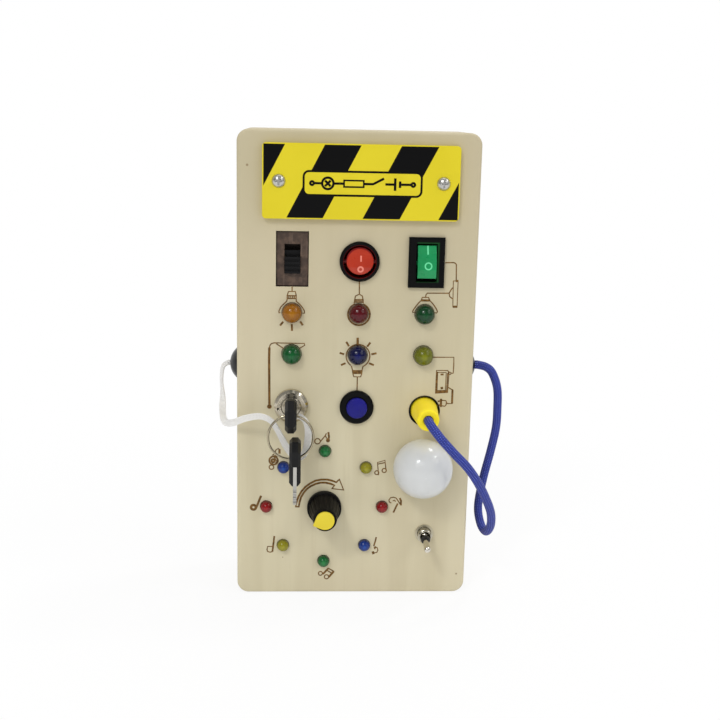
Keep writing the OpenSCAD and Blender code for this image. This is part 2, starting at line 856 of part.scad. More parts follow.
module round_rocker_housing() {
    bore = round_paddle_r + paddle_gap;
    color("black")
        on_front(column_mid, switch_z) {
            difference() {
                union() {
                    chamfered_disc(round_rim_r, rim_t, 0.6);
                    translate([0, 0, -rocker_body_d]) cylinder(r = round_body_r, h = rocker_body_d);
                }
                translate([0, 0, -rocker_body_d + rocker_floor])
                    cylinder(r = bore, h = rocker_body_d + rim_t);
                pivot_pins(round_body_r - fit, pivot_r + run);
            }
            translate([0, 0, -rocker_body_d])
                terminals([-round_terminal_step / 2, round_terminal_step / 2], terminal_w, terminal_l);
        }
}

module round_rocker_paddle() {
    color("tomato")
        on_front(column_mid, switch_z) pressed_in() {
            intersection() {
                paddle_bar(2 * round_paddle_r, round_paddle_r);
                translate([0, 0, -paddle_root - over])
                    cylinder(r = round_paddle_r, h = paddle_rise + paddle_root + 2 * over);
            }
            pivot_pins(round_body_r - 2 * fit, pivot_r);
        }
}

module square_rocker_housing() {
    chamfer = 0.5;
    color("black")
        on_front(column_right, switch_z) {
            difference() {
                union() {
                    translate([-square_rim_w / 2, -square_rim_h / 2, 0])
                        cube([square_rim_w, square_rim_h, rim_t - chamfer]);
                    translate([-square_rim_w / 2 + chamfer, -square_rim_h / 2 + chamfer, 0])
                        cube([square_rim_w - 2 * chamfer, square_rim_h - 2 * chamfer, rim_t]);
                    translate([-square_body_w / 2, -square_body_h / 2, -rocker_body_d])
                        cube([square_body_w, square_body_h, rocker_body_d]);
                }
                translate([-square_slot_w / 2, -square_slot_h / 2, -rocker_body_d + rocker_floor])
                    cube([square_slot_w, square_slot_h, rocker_body_d + rim_t]);
                pivot_pins(square_slot_w / 2 + pin_depth + fit, pivot_r + run);
            }
            translate([0, 0, -rocker_body_d])
                terminals([-terminal_step, 0, terminal_step], terminal_w, terminal_l);
        }
}

module square_rocker_paddle() {
    color("mediumseagreen")
        on_front(column_right, switch_z) pressed_in() {
            paddle_bar(square_paddle_w, square_paddle_h / 2);
            pivot_pins(square_slot_w / 2 + pin_depth, pivot_r);
        }
}

// ---------- push button ----------

module push_button_housing() {
    stop_d = cap_foot + button_travel + run;
    color("black")
        on_front(column_mid, button_z)
            difference() {
                union() {
                    chamfered_disc(button_rim_r, button_rim_t, 0.5);
                    translate([0, 0, -button_body_d]) cylinder(r = button_body_r, h = button_body_d);
                }
                // The cap's foot stops on the ledge at the end of its travel.
                translate([0, 0, -stop_d])
                    cylinder(r = button_cap_r + run, h = stop_d + button_rim_t + over);
                translate([0, 0, -button_body_d + button_floor])
                    cylinder(r = spring_r + spring_wire_r + spring_gap, h = button_body_d);
            }
}

module push_button_cap() {
    top = button_rim_t + button_proud;
    color("mediumblue")
        on_front(column_mid, button_z) {
            translate([0, 0, -cap_foot]) chamfered_disc(button_cap_r, top + cap_foot - cap_rise, cap_rise);
            translate([0, 0, top - cap_rise]) dome(button_cap_r - cap_rise, cap_rise);
        }
}

module push_button_spring() {
    low = -button_body_d + button_floor + spring_wire_r;
    high = -cap_foot - spring_wire_r;
    steps = spring_steps * spring_turns;
    coil = [for (i = [0 : steps])
        let (a = 360 * spring_turns * i / steps)
        [spring_r * cos(a), spring_r * sin(a), low + (high - low) * i / steps]];
    color("silver")
        on_front(column_mid, button_z) tube(coil, spring_wire_r, 6);
}

module push_button_nut() {
    color("dimgray")
        on_front(column_mid, button_z)
            hex_nut(button_nut_af, button_body_r + fit, cavity_front - nut_t, cavity_front);
}

// ---------- key lock ----------

module lock_barrel() {
    color("silver")
        on_front(column_left, lock_z)
            difference() {
                union() {
                    chamfered_disc(lock_head_r, lock_head_t, lock_chamfer);
                    translate([0, 0, -lock_body_d]) cylinder(r = lock_body_r, h = lock_body_d);
                }
                translate([0, 0, -lock_body_d + lock_floor])
                    cylinder(r = lock_plug_r + run, h = lock_body_d + lock_head_t);
                rotate([0, 0, mark_angle]) translate([mark_out, 0, lock_head_t - mark_d])
                    cylinder(r = mark_r, h = mark_d + over, $fn = 24);
            }
}

module lock_nut() {
    color("silver")
        on_front(column_left, lock_z)
            hex_nut(lock_nut_af, lock_body_r + fit, cavity_front - nut_t, cavity_front);
}

module lock_cylinder() {
    low = -lock_body_d + lock_floor + fit;
    color("gainsboro")
        on_front(column_left, lock_z)
            difference() {
                translate([0, 0, low]) chamfered_disc(lock_plug_r, lock_face - low, 0.4);
                translate([-key_t / 2 - fit, -blade_w / 2 - fit, lock_face - keyway_d])
                    cube([key_t + 2 * fit, blade_w + 2 * fit, keyway_d + over]);
            }
}

// A flat bar between two outlines' thicknesses, its edges chamfered. x runs along the key.
module chamfered_flat(from_x, to_x, from_w, to_w, corner) {
    c = grip_chamfer;
    hull() {
        key_plate(grip_t - 2 * c) cut_corner_outline(from_x, to_x, from_w, to_w, corner);
        key_plate(grip_t)
            cut_corner_outline(from_x + c, to_x - c, from_w - 2 * c, to_w - 2 * c, corner);
    }
}

// Four-sided outline along x whose far corners are cut.
module cut_corner_outline(from_x, to_x, from_w, to_w, corner) {
    polygon([
        [from_x, -from_w / 2], [to_x - corner, -to_w / 2], [to_x, corner - to_w / 2],
        [to_x, to_w / 2 - corner], [to_x - corner, to_w / 2], [from_x, from_w / 2]
    ]);
}

// Outline of the key's metal: blade, shoulder inside the fork, tongue.
module metal_outline() {
    tip = blade_tip;
    polygon([
        [-blade_l, -blade_w / 2 + tip], [-blade_l + tip, -blade_w / 2], [0, -blade_w / 2],
        [0, -neck_w / 2], [fork_l, -fork_w / 2], [fork_l, fork_w / 2],
        [0, neck_w / 2], [0, blade_w / 2], [-blade_l + tip, blade_w / 2],
        [-blade_l, blade_w / 2 - tip]
    ]);
}

// Places a key drawn flat, its length along x, standing on edge.
module key_plate(thickness) {
    rotate([0, -90, 0]) translate([0, 0, -thickness / 2]) linear_extrude(thickness) children();
}

module key_metal() {
    difference() {
        key_plate(key_t) metal_outline();
        translate([-grip_t, 0, grip_l - eye_from_end]) rotate([0, 90, 0])
            cylinder(r = eye_r, h = 2 * grip_t);
        // Bitting cuts along one edge of the blade.
        for (i = [0 : cut_count - 1])
            translate([-key_t, -blade_w / 2, -cut_first - cut_step * i]) rotate([0, 90, 0])
                cylinder(r = cut_r + cut_growth * i, h = 2 * key_t, $fn = 24);
    }
}

module key_shell() {
    difference() {
        union() {
            chamfered_flat(0, fork_l + 2 * grip_chamfer, neck_w, fork_w, grip_chamfer);
            chamfered_flat(fork_l - grip_chamfer, grip_l, grip_w - 2 * grip_chamfer, grip_w,
                           grip_corner);
        }
        key_plate(key_t) metal_outline();
        translate([-grip_t, 0, grip_l - eye_from_end]) rotate([0, 90, 0])
            cylinder(r = eye_r, h = 2 * grip_t);
    }
}

// Children are a key drawn pointing out along z, moved into the lock.
module in_lock() {
    on_front(column_left, lock_z) translate([0, 0, grip_start]) children();
}

// Children are a key drawn pointing out along z, hung on the ring.
module on_ring() {
    on_front(column_left, lock_z)
        translate([spare_shift, -spare_drop, key_eye_out]) rotate([-90, 0, 0])
            translate([0, 0, -(grip_l - eye_from_end)]) children();
}

module key_blade() {
    color("silver") in_lock() key_metal();
}

module key_grip() {
    color("black") in_lock() key_shell();
}

module spare_key_blade() {
    color("silver") on_ring() key_metal();
}

module spare_key_grip() {
    color("black") on_ring() key_shell();
}

module key_ring() {
    color("silver")
        on_front(column_left, lock_z) translate([0, -ring_play - ring_r, key_eye_out])
            rotate_extrude($fn = 96) translate([ring_r, 0]) circle(r = ring_wire_r, $fn = 24);
}

// ---------- plug, socket and outlets ----------

module plug_socket() {
    color("black")
        on_front(plug_x, plug_z)
            difference() {
                union() {
                    translate([0, 0, -cup_d - cup_floor])
                        cylinder(r = socket_r, h = cup_d + cup_floor + socket_proud);
                    translate([0, 0, -socket_d]) cylinder(r = socket_body_r, h = socket_d);
                }
                translate([0, 0, -cup_d]) cylinder(r = cup_r, h = cup_d + 2 * over);
                translate([0, 0, -socket_d + socket_floor])
                    cylinder(r = pin_r + run, h = socket_d + over);
            }
}

module plug_body() {
    straight = plug_l + plug_seat - plug_nose;
    color("gold")
        on_front(plug_x, plug_z) translate([0, 0, -plug_seat])
            difference() {
                rotate_extrude() {
                    polygon([[0, 0], [plug_r, 0], [plug_tip_r, straight], [0, straight]]);
                    square([plug_tip_r - plug_nose, straight + plug_nose]);
                    translate([plug_tip_r - plug_nose, straight])
                        intersection() {
                            circle(r = plug_nose);
                            square([plug_nose, plug_nose]);
                        }
                }
                translate([0, 0, straight + plug_nose - cord_hole_d])
                    cylinder(r = cord_r + cord_gap, h = cord_hole_d + over);
            }
}

module plug_pin() {
    color("silver")
        on_front(plug_x, plug_z) translate([0, 0, -plug_seat - pin_l]) {
            translate([0, 0, pin_point_l + pin_groove_l])
                cylinder(r = pin_r, h = pin_l - pin_point_l - pin_groove_l);
            translate([0, 0, pin_point_l]) cylinder(r = pin_r * 0.75, h = pin_groove_l);
            cylinder(r1 = pin_r * 0.35, r2 = pin_r, h = pin_point_l);
        }
}

module plug_cord() {
    color("royalblue") tube(smooth_line(cord_points, cord_steps), cord_r, cord_sides);
}

module key_lace() {
    color("white") tube(smooth_line(lace_points, cord_steps), lace_r, cord_sides);
}

// A domed outlet with a neck through the wall and a blind hole for its cord.
module outlet(side, hole_r) {
    color("black")
        on_side(side, outlet_z)
            difference() {
                union() {
                    dome(outlet_r, outlet_proud);
                    translate([0, 0, -wall_t]) cylinder(r = outlet_neck_r, h = wall_t + 0.5);
                }
                translate([0, 0, outlet_proud - outlet_hole_d])
                    cylinder(r = hole_r, h = outlet_hole_d + over);
            }
}

module cord_outlet() {
    outlet(1, cord_r + cord_gap);
}

module lace_outlet() {
    outlet(-1, lace_r + cord_gap);
}

// ---------- bulb ----------

module globe_profile(r, floor_y) {
    intersection() {
        translate([0, bulb_lift]) circle(r = r, $fn = 96);
        translate([0, floor_y]) square([r, bulb_lift + r]);
    }
}

module bulb_globe() {
    color("whitesmoke")
        on_front(bulb_x, bulb_z)
            difference() {
                rotate_extrude() {
                    globe_profile(bulb_r, 0);
                    translate([0, -panel_t]) square([bulb_neck_r, panel_t + bulb_wall]);
                }
                rotate_extrude() globe_profile(bulb_r - bulb_wall, bulb_wall);
                translate([0, 0, -panel_t - over])
                    cylinder(r = bulb_neck_r - bulb_wall, h = panel_t + bulb_wall + 2 * over);
            }
}

module bulb_base() {
    color("ivory")
        on_front(bulb_x, bulb_z) {
            translate([0, 0, cavity_front - base_t]) cylinder(r = base_flange_r, h = base_t);
            translate([0, 0, cavity_front])
                cylinder(r = bulb_neck_r - bulb_wall - fit, h = base_plug_h);
            translate([0, 0, cavity_front + base_plug_h]) cylinder(r = diode_r, h = diode_l);
            translate([0, 0, cavity_front + base_plug_h + diode_l]) dome(diode_r, diode_rise);
        }
}

// ---------- lever switch ----------

module toggle_body() {
    color("silver")
        on_front(toggle_x, toggle_z) {
            difference() {
                union() {
                    translate([0, 0, cavity_front])
                        cylinder(r = collar_r, h = panel_t + collar_l - collar_chamfer);
                    translate([0, 0, collar_l - collar_chamfer])
                        cylinder(r1 = collar_r, r2 = collar_r - collar_narrowing, h = collar_chamfer);
                }
                translate([0, 0, cavity_front + collar_floor])
                    cylinder(r = collar_r - collar_wall, h = panel_t + collar_l);
            }
            translate([-toggle_body_w / 2, -toggle_body_h / 2, cavity_front - toggle_body_d])
                cube([toggle_body_w, toggle_body_h, toggle_body_d]);
            translate([0, 0, cavity_front - toggle_body_d])
                terminals([-toggle_pin_step, 0, toggle_pin_step], toggle_pin_w, toggle_pin_l);
        }
}

module toggle_washer() {
    color("lightgray")
        on_front(toggle_x, toggle_z) ring(washer_r, collar_r + fit, 0, washer_t);
}

// Children are turned about the lever's pivot, tip down.
module lever_down() {
    on_front(toggle_x, toggle_z) translate([0, 0, lever_pivot]) rotate([lever_tilt, 0, 0]) children();
}

module toggle_lever() {
    color("silver")
        lever_down() {
            sphere(r = lever_ball_r);
            cylinder(r1 = lever_root_r, r2 = lever_tip_r, h = lever_l - lever_tip_r);
            translate([0, 0, lever_l - lever_tip_r]) sphere(r = lever_tip_r);
        }
}

module toggle_sleeve() {
    color("black")
        lever_down()
            difference() {
                translate([0, 0, sleeve_from]) cylinder(r = sleeve_r, h = sleeve_to - sleeve_from);
                cylinder(r1 = lever_root_r, r2 = lever_tip_r, h = lever_l - lever_tip_r);
            }
}

// ---------- rotary switch and knob ----------

module rotary_body() {
    color("silver")
        on_front(knob_x, knob_z)
            difference() {
                union() {
                    translate([0, 0, cavity_front - rotary_d]) cylinder(r = rotary_r, h = rotary_d);
                    translate([0, 0, cavity_front]) cylinder(r = bushing_r, h = panel_t + bushing_l);
                }
                translate([0, 0, cavity_front - rotary_d + rocker_floor])
                    cylinder(r = shaft_r + run, h = rotary_d + panel_t + bushing_l);
            }
}

module rotary_nut() {
    color("silver")
        on_front(knob_x, knob_z) hex_nut(knob_nut_af, bushing_r + fit, 0, knob_nut_t);
}

module rotary_shaft() {
    low = cavity_front - rotary_d + rocker_floor + run;
    color("gainsboro")
        on_front(knob_x, knob_z)
            difference() {
                translate([0, 0, low]) cylinder(r = shaft_r, h = shaft_l - low);
                rotate([0, 0, pointer_angle])
                    translate([shaft_r * shaft_flat, -shaft_r, bushing_l + flat_above])
                        cube([shaft_r, 2 * shaft_r, shaft_l]);
            }
}

module knob_profile() {
    polygon([
        [0, knob_lift], [knob_r, knob_lift], [knob_r, knob_lift + knob_skirt_h],
        [knob_r - knob_step, knob_lift + knob_skirt_h + knob_step_h],
        [knob_top_r + knob_crown, knob_h - knob_edge], [knob_top_r, knob_h], [0, knob_h]
    ]);
}

module knob_body() {
    taper = atan((knob_r - knob_step - knob_top_r) / (knob_h - knob_skirt_h));
    flute_from = knob_lift + knob_skirt_h + knob_step_h;
    flute_l = knob_h - flute_from - flute_short;
    color("black")
        on_front(knob_x, knob_z)
            difference() {
                rotate_extrude() knob_profile();
                ring_gap();
                translate([0, 0, knob_h - cap_sink]) linear_extrude(cap_sink + over) pointer_outline(fit);
                for (i = [0 : flute_count - 1])
                    rotate([0, 0, pointer_angle + 360 * (i + 0.5) / flute_count])
                        translate([knob_r - knob_step + flute_out, 0, flute_from])
                            rotate([0, -taper, 0]) cylinder(r = flute_r, h = flute_l, $fn = 24);
            }
}

// Room inside the knob for the nut, the bushing and the flatted shaft.
module ring_gap() {
    translate([0, 0, knob_lift - over]) cylinder(r = knob_recess_r, h = knob_recess_h + over);
    translate([0, 0, knob_lift]) cylinder(r = bushing_r + free, h = bushing_l);
    translate([0, 0, knob_lift])
        difference() {
            cylinder(r = shaft_r + run, h = shaft_l);
            rotate([0, 0, pointer_angle])
                translate([shaft_r * shaft_flat + run, -2 * shaft_r, bushing_l])
                    cube([2 * shaft_r, 4 * shaft_r, shaft_l + over]);
        }
}

// Teardrop with its tip along pointer_angle: an arc and the two lines that leave it to the tip.
module pointer_outline(grow = 0) {
    r = pointer_r + grow;
    reach = pointer_l + grow;
    leave = acos(r / reach);
    arc = [for (k = [0 : pointer_steps])
        let (a = leave + (360 - 2 * leave) * k / pointer_steps)
        [r * cos(a), r * sin(a)]];
    rotate([0, 0, pointer_angle]) polygon(concat([[reach, 0]], arc));
}

module knob_pointer() {
    color("gold")
        on_front(knob_x, knob_z)
            translate([0, 0, knob_h - cap_sink]) linear_extrude(cap_t) pointer_outline();
}

// ---------- battery box ----------

module battery_tray() {
    inner_w = battery_w - 2 * tray_wall - 2 * lid_ledge;
    inner_h = battery_h - 2 * tray_wall;
    color("dimgray")
        on_back(0, battery_z)
            difference() {
                union() {
                    difference() {
                        union() {
                            translate([-battery_w / 2, -battery_h / 2, -tray_d])
                                cube([battery_w, battery_h, tray_d]);
                            translate([-battery_w / 2 - tray_flange, -battery_h / 2 - tray_flange,
                                       -back_t - tray_flange_t])
                                cube([battery_w + 2 * tray_flange, battery_h + 2 * tray_flange,
                                      tray_flange_t]);
                        }
                        translate([-inner_w / 2, -inner_h / 2, -tray_d + tray_wall])
                            cube([inner_w, inner_h, tray_d]);
                        translate([-battery_w / 2 + tray_wall, -inner_h / 2, -lid_t])
                            cube([battery_w - 2 * tray_wall, inner_h, lid_t + over]);
                    }
                    // Boss that the lid is screwed to.
                    translate([boss_x, 0, -tray_d + tray_wall / 2])
                        cylinder(r = boss_r, h = tray_d - tray_wall / 2 - lid_t);
                }
                translate([boss_x, 0, 0])
                    countersunk_hole(lid_screw_r, lid_screw_head_r, lid_screw_l);
            }
}

module battery_cells() {
    low = -tray_d + tray_wall + cell_r;
    color("steelblue")
        on_back(0, battery_z)
            for (s = [-1, 1])
                translate([-cell_shift - s * cell_l / 2, s * (cell_r + fit), low])
                    rotate([0, s * 90, 0]) {
                        cylinder(r = cell_r, h = cell_l);
                        translate([0, 0, cell_l]) cylinder(r = cell_nub_r, h = cell_nub_l);
                    }
}

module battery_lid() {
    lid_w = battery_w - 2 * tray_wall - 2 * fit;
    lid_h = battery_h - 2 * tray_wall - 2 * fit;
    color("gray")
        on_back(0, battery_z)
            difference() {
                translate([-lid_w / 2, -lid_h / 2, -lid_t]) cube([lid_w, lid_h, lid_t]);
                // Thumb ribs at the end away from the screw.
                for (i = [0 : thumb_ribs - 1])
                    translate([-lid_w / 2 + thumb_in + i * thumb_step, -thumb_l / 2, -thumb_d])
                        cube([thumb_w, thumb_l, thumb_d + over]);
                translate([boss_x, 0, 0])
                    countersunk_hole(lid_screw_r, lid_screw_head_r, lid_t + over);
            }
}

module battery_lid_screw() {
    color("silver")
        on_back(0, battery_z) translate([boss_x, 0, 0])
            countersunk_screw(lid_screw_r, lid_screw_head_r, lid_screw_l, lid_screw_head_r * 1.2);
}

front_panel();
box_frame();
back_panel();
back_screws();
sign_plate();
sign_screws();
slide_switch_body();
slide_switch_slider();
round_rocker_housing();
round_rocker_paddle();
square_rocker_housing();
square_rocker_paddle();
push_button_housing();
push_button_cap();
push_button_spring();
push_button_nut();
lock_barrel();
lock_nut();
lock_cylinder();
key_blade();
key_grip();
key_ring();
spare_key_blade();
spare_key_grip();
plug_socket();
plug_body();
plug_pin();
plug_cord();
cord_outlet();
key_lace();
lace_outlet();
bulb_globe();
bulb_base();
toggle_body();
toggle_washer();
toggle_lever();
toggle_sleeve();
rotary_body();
rotary_nut();
rotary_shaft();
knob_body();
knob_pointer();
color("orange") lamp(column_left, lamp_upper_z, lamp_r, lamp_proud);  // lamp_orange
color("crimson") lamp(column_mid, lamp_upper_z, lamp_r, lamp_proud);  // lamp_crimson
color("darkgreen") lamp(column_right, lamp_upper_z, lamp_r, lamp_proud);  // lamp_forest
color("green") lamp(column_left, lamp_lower_z, lamp_r, lamp_proud);  // lamp_green
color("navy") lamp(column_mid, lamp_lower_z, lamp_r, lamp_proud);  // lamp_blue
color("olive") lamp(column_right, lamp_lower_z, lamp_r, lamp_proud);  // lamp_olive
small_lamp(0);  // small_lamp_0
small_lamp(1);  // small_lamp_1
small_lamp(2);  // small_lamp_2
small_lamp(3);  // small_lamp_3
small_lamp(4);  // small_lamp_4
small_lamp(5);  // small_lamp_5
small_lamp(6);  // small_lamp_6
small_lamp(7);  // small_lamp_7
battery_tray();
battery_cells();
battery_lid();
battery_lid_screw();
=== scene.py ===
"""Dress of the wooden busy board: finishes, cord, lace, burnt figures, printed plate and small trim.

The frame of the solids is in metres: the front face lies at y = -0.02, up is +z and the box stands
on z = 0. Places and sizes in this file are in millimetres, apart from the studio's lamps and floor.
"""

import logging
import math
from dataclasses import dataclass, replace
from enum import Enum
from functools import cache
from typing import Iterable, Protocol, Sequence

import bpy
from mathutils import Matrix, Vector


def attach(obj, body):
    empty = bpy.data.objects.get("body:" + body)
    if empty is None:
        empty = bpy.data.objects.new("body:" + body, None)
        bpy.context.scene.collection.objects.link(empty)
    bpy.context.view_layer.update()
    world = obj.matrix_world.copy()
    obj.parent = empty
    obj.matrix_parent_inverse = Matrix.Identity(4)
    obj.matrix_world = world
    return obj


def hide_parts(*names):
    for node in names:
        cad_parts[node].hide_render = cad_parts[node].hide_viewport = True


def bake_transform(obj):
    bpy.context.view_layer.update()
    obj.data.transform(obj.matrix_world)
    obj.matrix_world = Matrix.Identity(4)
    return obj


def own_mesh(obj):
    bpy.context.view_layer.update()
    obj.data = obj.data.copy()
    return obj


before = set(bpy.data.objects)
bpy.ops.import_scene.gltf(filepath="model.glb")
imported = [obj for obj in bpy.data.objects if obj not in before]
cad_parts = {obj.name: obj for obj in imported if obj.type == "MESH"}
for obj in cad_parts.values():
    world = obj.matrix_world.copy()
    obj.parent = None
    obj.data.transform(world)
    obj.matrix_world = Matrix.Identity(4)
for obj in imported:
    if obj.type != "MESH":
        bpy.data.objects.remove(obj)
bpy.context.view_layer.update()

LOG = logging.getLogger("busy_board")
MM = 0.001
FRONT = -20.0  # front face of the panel
PLATE_FACE = FRONT - 2.4
COLUMNS = COLUMN_LEFT, COLUMN_MID, COLUMN_RIGHT = -27.1, 0.7, 28.5
KNOB_PLACE = (-12.4, 40.0)
BUTTON_PLACE = (COLUMN_MID, 84.8)
LOCK_PLACE = (COLUMN_LEFT, 85.3)
PRINT_EDGE = 0.05  # how soft the edge of a printed colour is

Colour = tuple[float, float, float, float]
Plan = tuple[tuple[float, float], ...]
Place = tuple[float, float, float]
Socket = bpy.types.NodeSocket


class Axis(Enum):
    """Axis of the object's frame, with its index."""

    X = 0
    Y = 1
    Z = 2


class Body(Enum):
    """Moving body that a piece rides on."""

    BOARD = "board"
    KEY = "key"
    PLUG = "plug"


def tone(red: float, green: float, blue: float) -> Colour:
    """Turns a colour written from 0 to 255 into linear light.

    Args:
        red: Red part.
        green: Green part.
        blue: Blue part.

    Returns:
        The colour as a shader socket takes it.
    """

    def channel(value: float) -> float:
        """Straightens one channel."""
        share = value / 255
        return share / 12.92 if share <= 0.04045 else ((share + 0.055) / 1.055) ** 2.4

    return channel(red), channel(green), channel(blue), 1.0


def darker(colour: Colour, share: float) -> Colour:
    """Keeps a share of a colour's light."""
    return colour[0] * share, colour[1] * share, colour[2] * share, 1.0


def deselect() -> None:
    """Leaves edit mode and clears the selection."""
    if bpy.context.object and bpy.context.object.mode != "OBJECT":
        bpy.ops.object.mode_set(mode="OBJECT")
    bpy.ops.object.select_all(action="DESELECT")


def add(name: str, data: bpy.types.ID) -> bpy.types.Object:
    """Puts a new object into the scene and makes it the active one.

    Args:
        name: Name of the object.
        data: Its mesh, curve, camera or light.

    Returns:
        The object.
    """
    deselect()
    piece = bpy.data.objects.new(name, data)
    bpy.context.collection.objects.link(piece)
    piece.select_set(True)
    bpy.context.view_layer.objects.active = piece
    return piece


def edit() -> None:
    """Starts to edit the active piece, with its whole mesh selected."""
    bpy.ops.object.mode_set(mode="EDIT")
    bpy.ops.mesh.select_all(action="SELECT")


def close_edit(smooth: float = 0.0) -> bpy.types.Object:
    """Turns the active piece's faces outwards and ends its editing.

    Args:
        smooth: Angle in degrees below which its edges are shaded smooth, or 0.

    Returns:
        The piece.
    """
    bpy.ops.mesh.select_all(action="SELECT")
    bpy.ops.mesh.normals_make_consistent(inside=False)
    bpy.ops.object.mode_set(mode="OBJECT")
    if smooth:
        bpy.ops.object.shade_smooth_by_angle(angle=math.radians(smooth))
    return bpy.context.object


class Tree:
    """Node tree, with short calls for the nodes used here."""

    def __init__(self, tree: bpy.types.NodeTree) -> None:
        """Takes over a tree and adds its source of coordinates.

        Args:
            tree: The node tree.
        """
        self.nodes = tree.nodes
        self.links = tree.links
        self.coordinates = self.nodes.new("ShaderNodeTexCoord")

    def put(self, kind: str, **settings: object) -> bpy.types.Node:
        """Adds a node.

        Args:
            kind: Blender's name of the node.
            **settings: Its properties.

        Returns:
            The node.
        """
        node = self.nodes.new(kind)
        for key, value in settings.items():
            setattr(node, key, value)
        return node

    def feed(self, node: bpy.types.Node, sockets: dict[object, object]) -> None:
        """Links a node's inputs to other sockets, or sets their values.

        Args:
            node: The node.
            sockets: Names or indices of its inputs, with what goes into each.
        """
        for key, value in sockets.items():
            if isinstance(value, Socket):
                self.links.new(value, node.inputs[key])
            else:
                node.inputs[key].default_value = value

    def calc(self, operation: str, *terms: object) -> Socket:
        """Adds a Math node.

        Args:
            operation: Name of the operation.
            *terms: Sockets or numbers.

        Returns:
            Its result.
        """
        node = self.put("ShaderNodeMath", operation=operation)
        self.feed(node, dict(enumerate(terms)))
        return node.outputs[0]

    def times(self, first: object, second: object) -> Socket:
        """Multiplies two values."""
        return self.calc("MULTIPLY", first, second)

    def axis(self, which: Axis, source: str = "Object") -> Socket:
        """Gives one coordinate of the object, of its UV map or of a direction.

        Args:
            which: The coordinate.
            source: Blender's name of what it is read from.

        Returns:
            The coordinate.
        """
        split = self.put("ShaderNodeSeparateXYZ")
        self.feed(split, {0: self.coordinates.outputs[source]})
        return split.outputs[which.value]

    def band(self, value: object, low: float, high: float, top: float = 1.0, bottom: float = 0.0,
             kind: str = "SMOOTHSTEP") -> Socket:
        """Goes from bottom at low to top at high, and is level outside.

        Args:
            value: Socket to read.
            low: Value that gives the bottom.
            high: Value that gives the top, which may be the smaller one.
            top: Result at high.
            bottom: Result at low.
            kind: Blender's name of the way between them.

        Returns:
            The eased value.
        """
        node = self.put("ShaderNodeMapRange", interpolation_type=kind, clamp=True)
        self.feed(node, {"Value": value, "From Min": low, "From Max": high, "To Min": bottom,
                         "To Max": top})
        return node.outputs["Result"]


class Graph(Tree):
    """Node tree of one material."""

    def __init__(self, name: str) -> None:
        """Starts a material of that name with a plain shader.

        Args:
            name: Name of the finish.
        """
        self.material = bpy.data.materials.new(name)
        self.material.use_nodes = True
        super().__init__(self.material.node_tree)
        self.shader = self.nodes["Principled BSDF"]

    def noise(self, scale: float, stretch: Sequence[float] = (1, 1, 1), detail: float = 3.0,
              roughness: float = 0.5, distortion: float = 0.0) -> Socket:
        """Adds noise on the object's own coordinates.

        Args:
            scale: Spots per metre.
            stretch: Scale along each axis.
            detail: Number of finer layers.
            roughness: Strength of the finer layers.
            distortion: How far the pattern is pulled about.

        Returns:
            The noise, about 0.5 on average.
        """
        mapping = self.put("ShaderNodeMapping")
        self.feed(mapping, {"Vector": self.coordinates.outputs["Object"], "Scale": stretch})
        node = self.put("ShaderNodeTexNoise")
        self.feed(node, {"Vector": mapping.outputs[0], "Scale": scale, "Detail": detail,
                         "Roughness": roughness, "Distortion": distortion})
        return node.outputs["Fac"]

    def blend(self, factor: object, first: object, second: object) -> Socket:
        """Mixes two colours by a factor.

        Args:
            factor: Share of the second colour.
            first: The first colour.
            second: The second colour.

        Returns:
            The mix.
        """
        node = self.put("ShaderNodeMix", data_type="RGBA")
        self.feed(node, {0: factor, 6: first, 7: second})
        return node.outputs[2]

    def from_axis(self, across: float, up: float) -> Socket:
        """Gives the distance in metres from a line along y.

        Args:
            across: Its place along x.
            up: Its place along z.

        Returns:
            The distance.
        """
        aside = self.calc("SUBTRACT", self.axis(Axis.X), across * MM)
        above = self.calc("SUBTRACT", self.axis(Axis.Z), up * MM)
        return self.calc("SQRT", self.calc("ADD", self.times(aside, aside), self.times(above, above)))

    def spot(self, across: float, up: float, radius: float, soft: float = 0.25) -> Socket:
        """Gives 1 inside a round spot of the front, which fades over a share of its radius."""
        return self.band(self.from_axis(across, up), radius * (1 + soft) * MM, radius * (1 - soft) * MM)

    def within(self, which: Axis, low: float, high: float, soft: float = PRINT_EDGE) -> Socket:
        """Gives 1 between two heights of an axis."""
        return self.between(self.axis(which), low, high, soft)

    def between(self, value: Socket, low: float, high: float, soft: float = PRINT_EDGE) -> Socket:
        """Gives 1 where a length in metres lies between two limits."""
        return self.times(self.band(value, (low - soft) * MM, (low + soft) * MM),
                          self.band(value, (high + soft) * MM, (high - soft) * MM))

    def relief(self, height: object, depth: float, strength: float = 1.0, edge: float = 0.0) -> None:
        """Gives the surface a relief, and softens its edges.

        Args:
            height: Socket that gives the height from 0 to 1.
            depth: Depth of the relief.
            strength: How much of it shows.
            edge: Radius that the light sees on edges.
        """
        bump = self.put("ShaderNodeBump")
        self.feed(bump, {"Strength": strength, "Distance": depth * MM, "Height": height})
        if edge:
            bevel = self.put("ShaderNodeBevel", samples=4)
            self.feed(bevel, {"Radius": edge * MM})
            self.feed(bump, {"Normal": bevel.outputs[0]})
        self.feed(self.shader, {"Normal": bump.outputs[0]})

    def finish(self, **sockets: object) -> bpy.types.Material:
        """Sets the shader's sockets, named with underscores for spaces, and gives the material."""
        self.feed(self.shader, {key.replace("_", " "): value for key, value in sockets.items()})
        return self.material


# ---------- finishes ----------


class Finish(Protocol):
    """Anything that makes a material."""

    def make(self) -> bpy.types.Material:
        """Builds the material."""


@cache
def material_of(finish: Finish) -> bpy.types.Material:
    """Makes the material of a finish once, and gives the same one after that."""
    return finish.make()


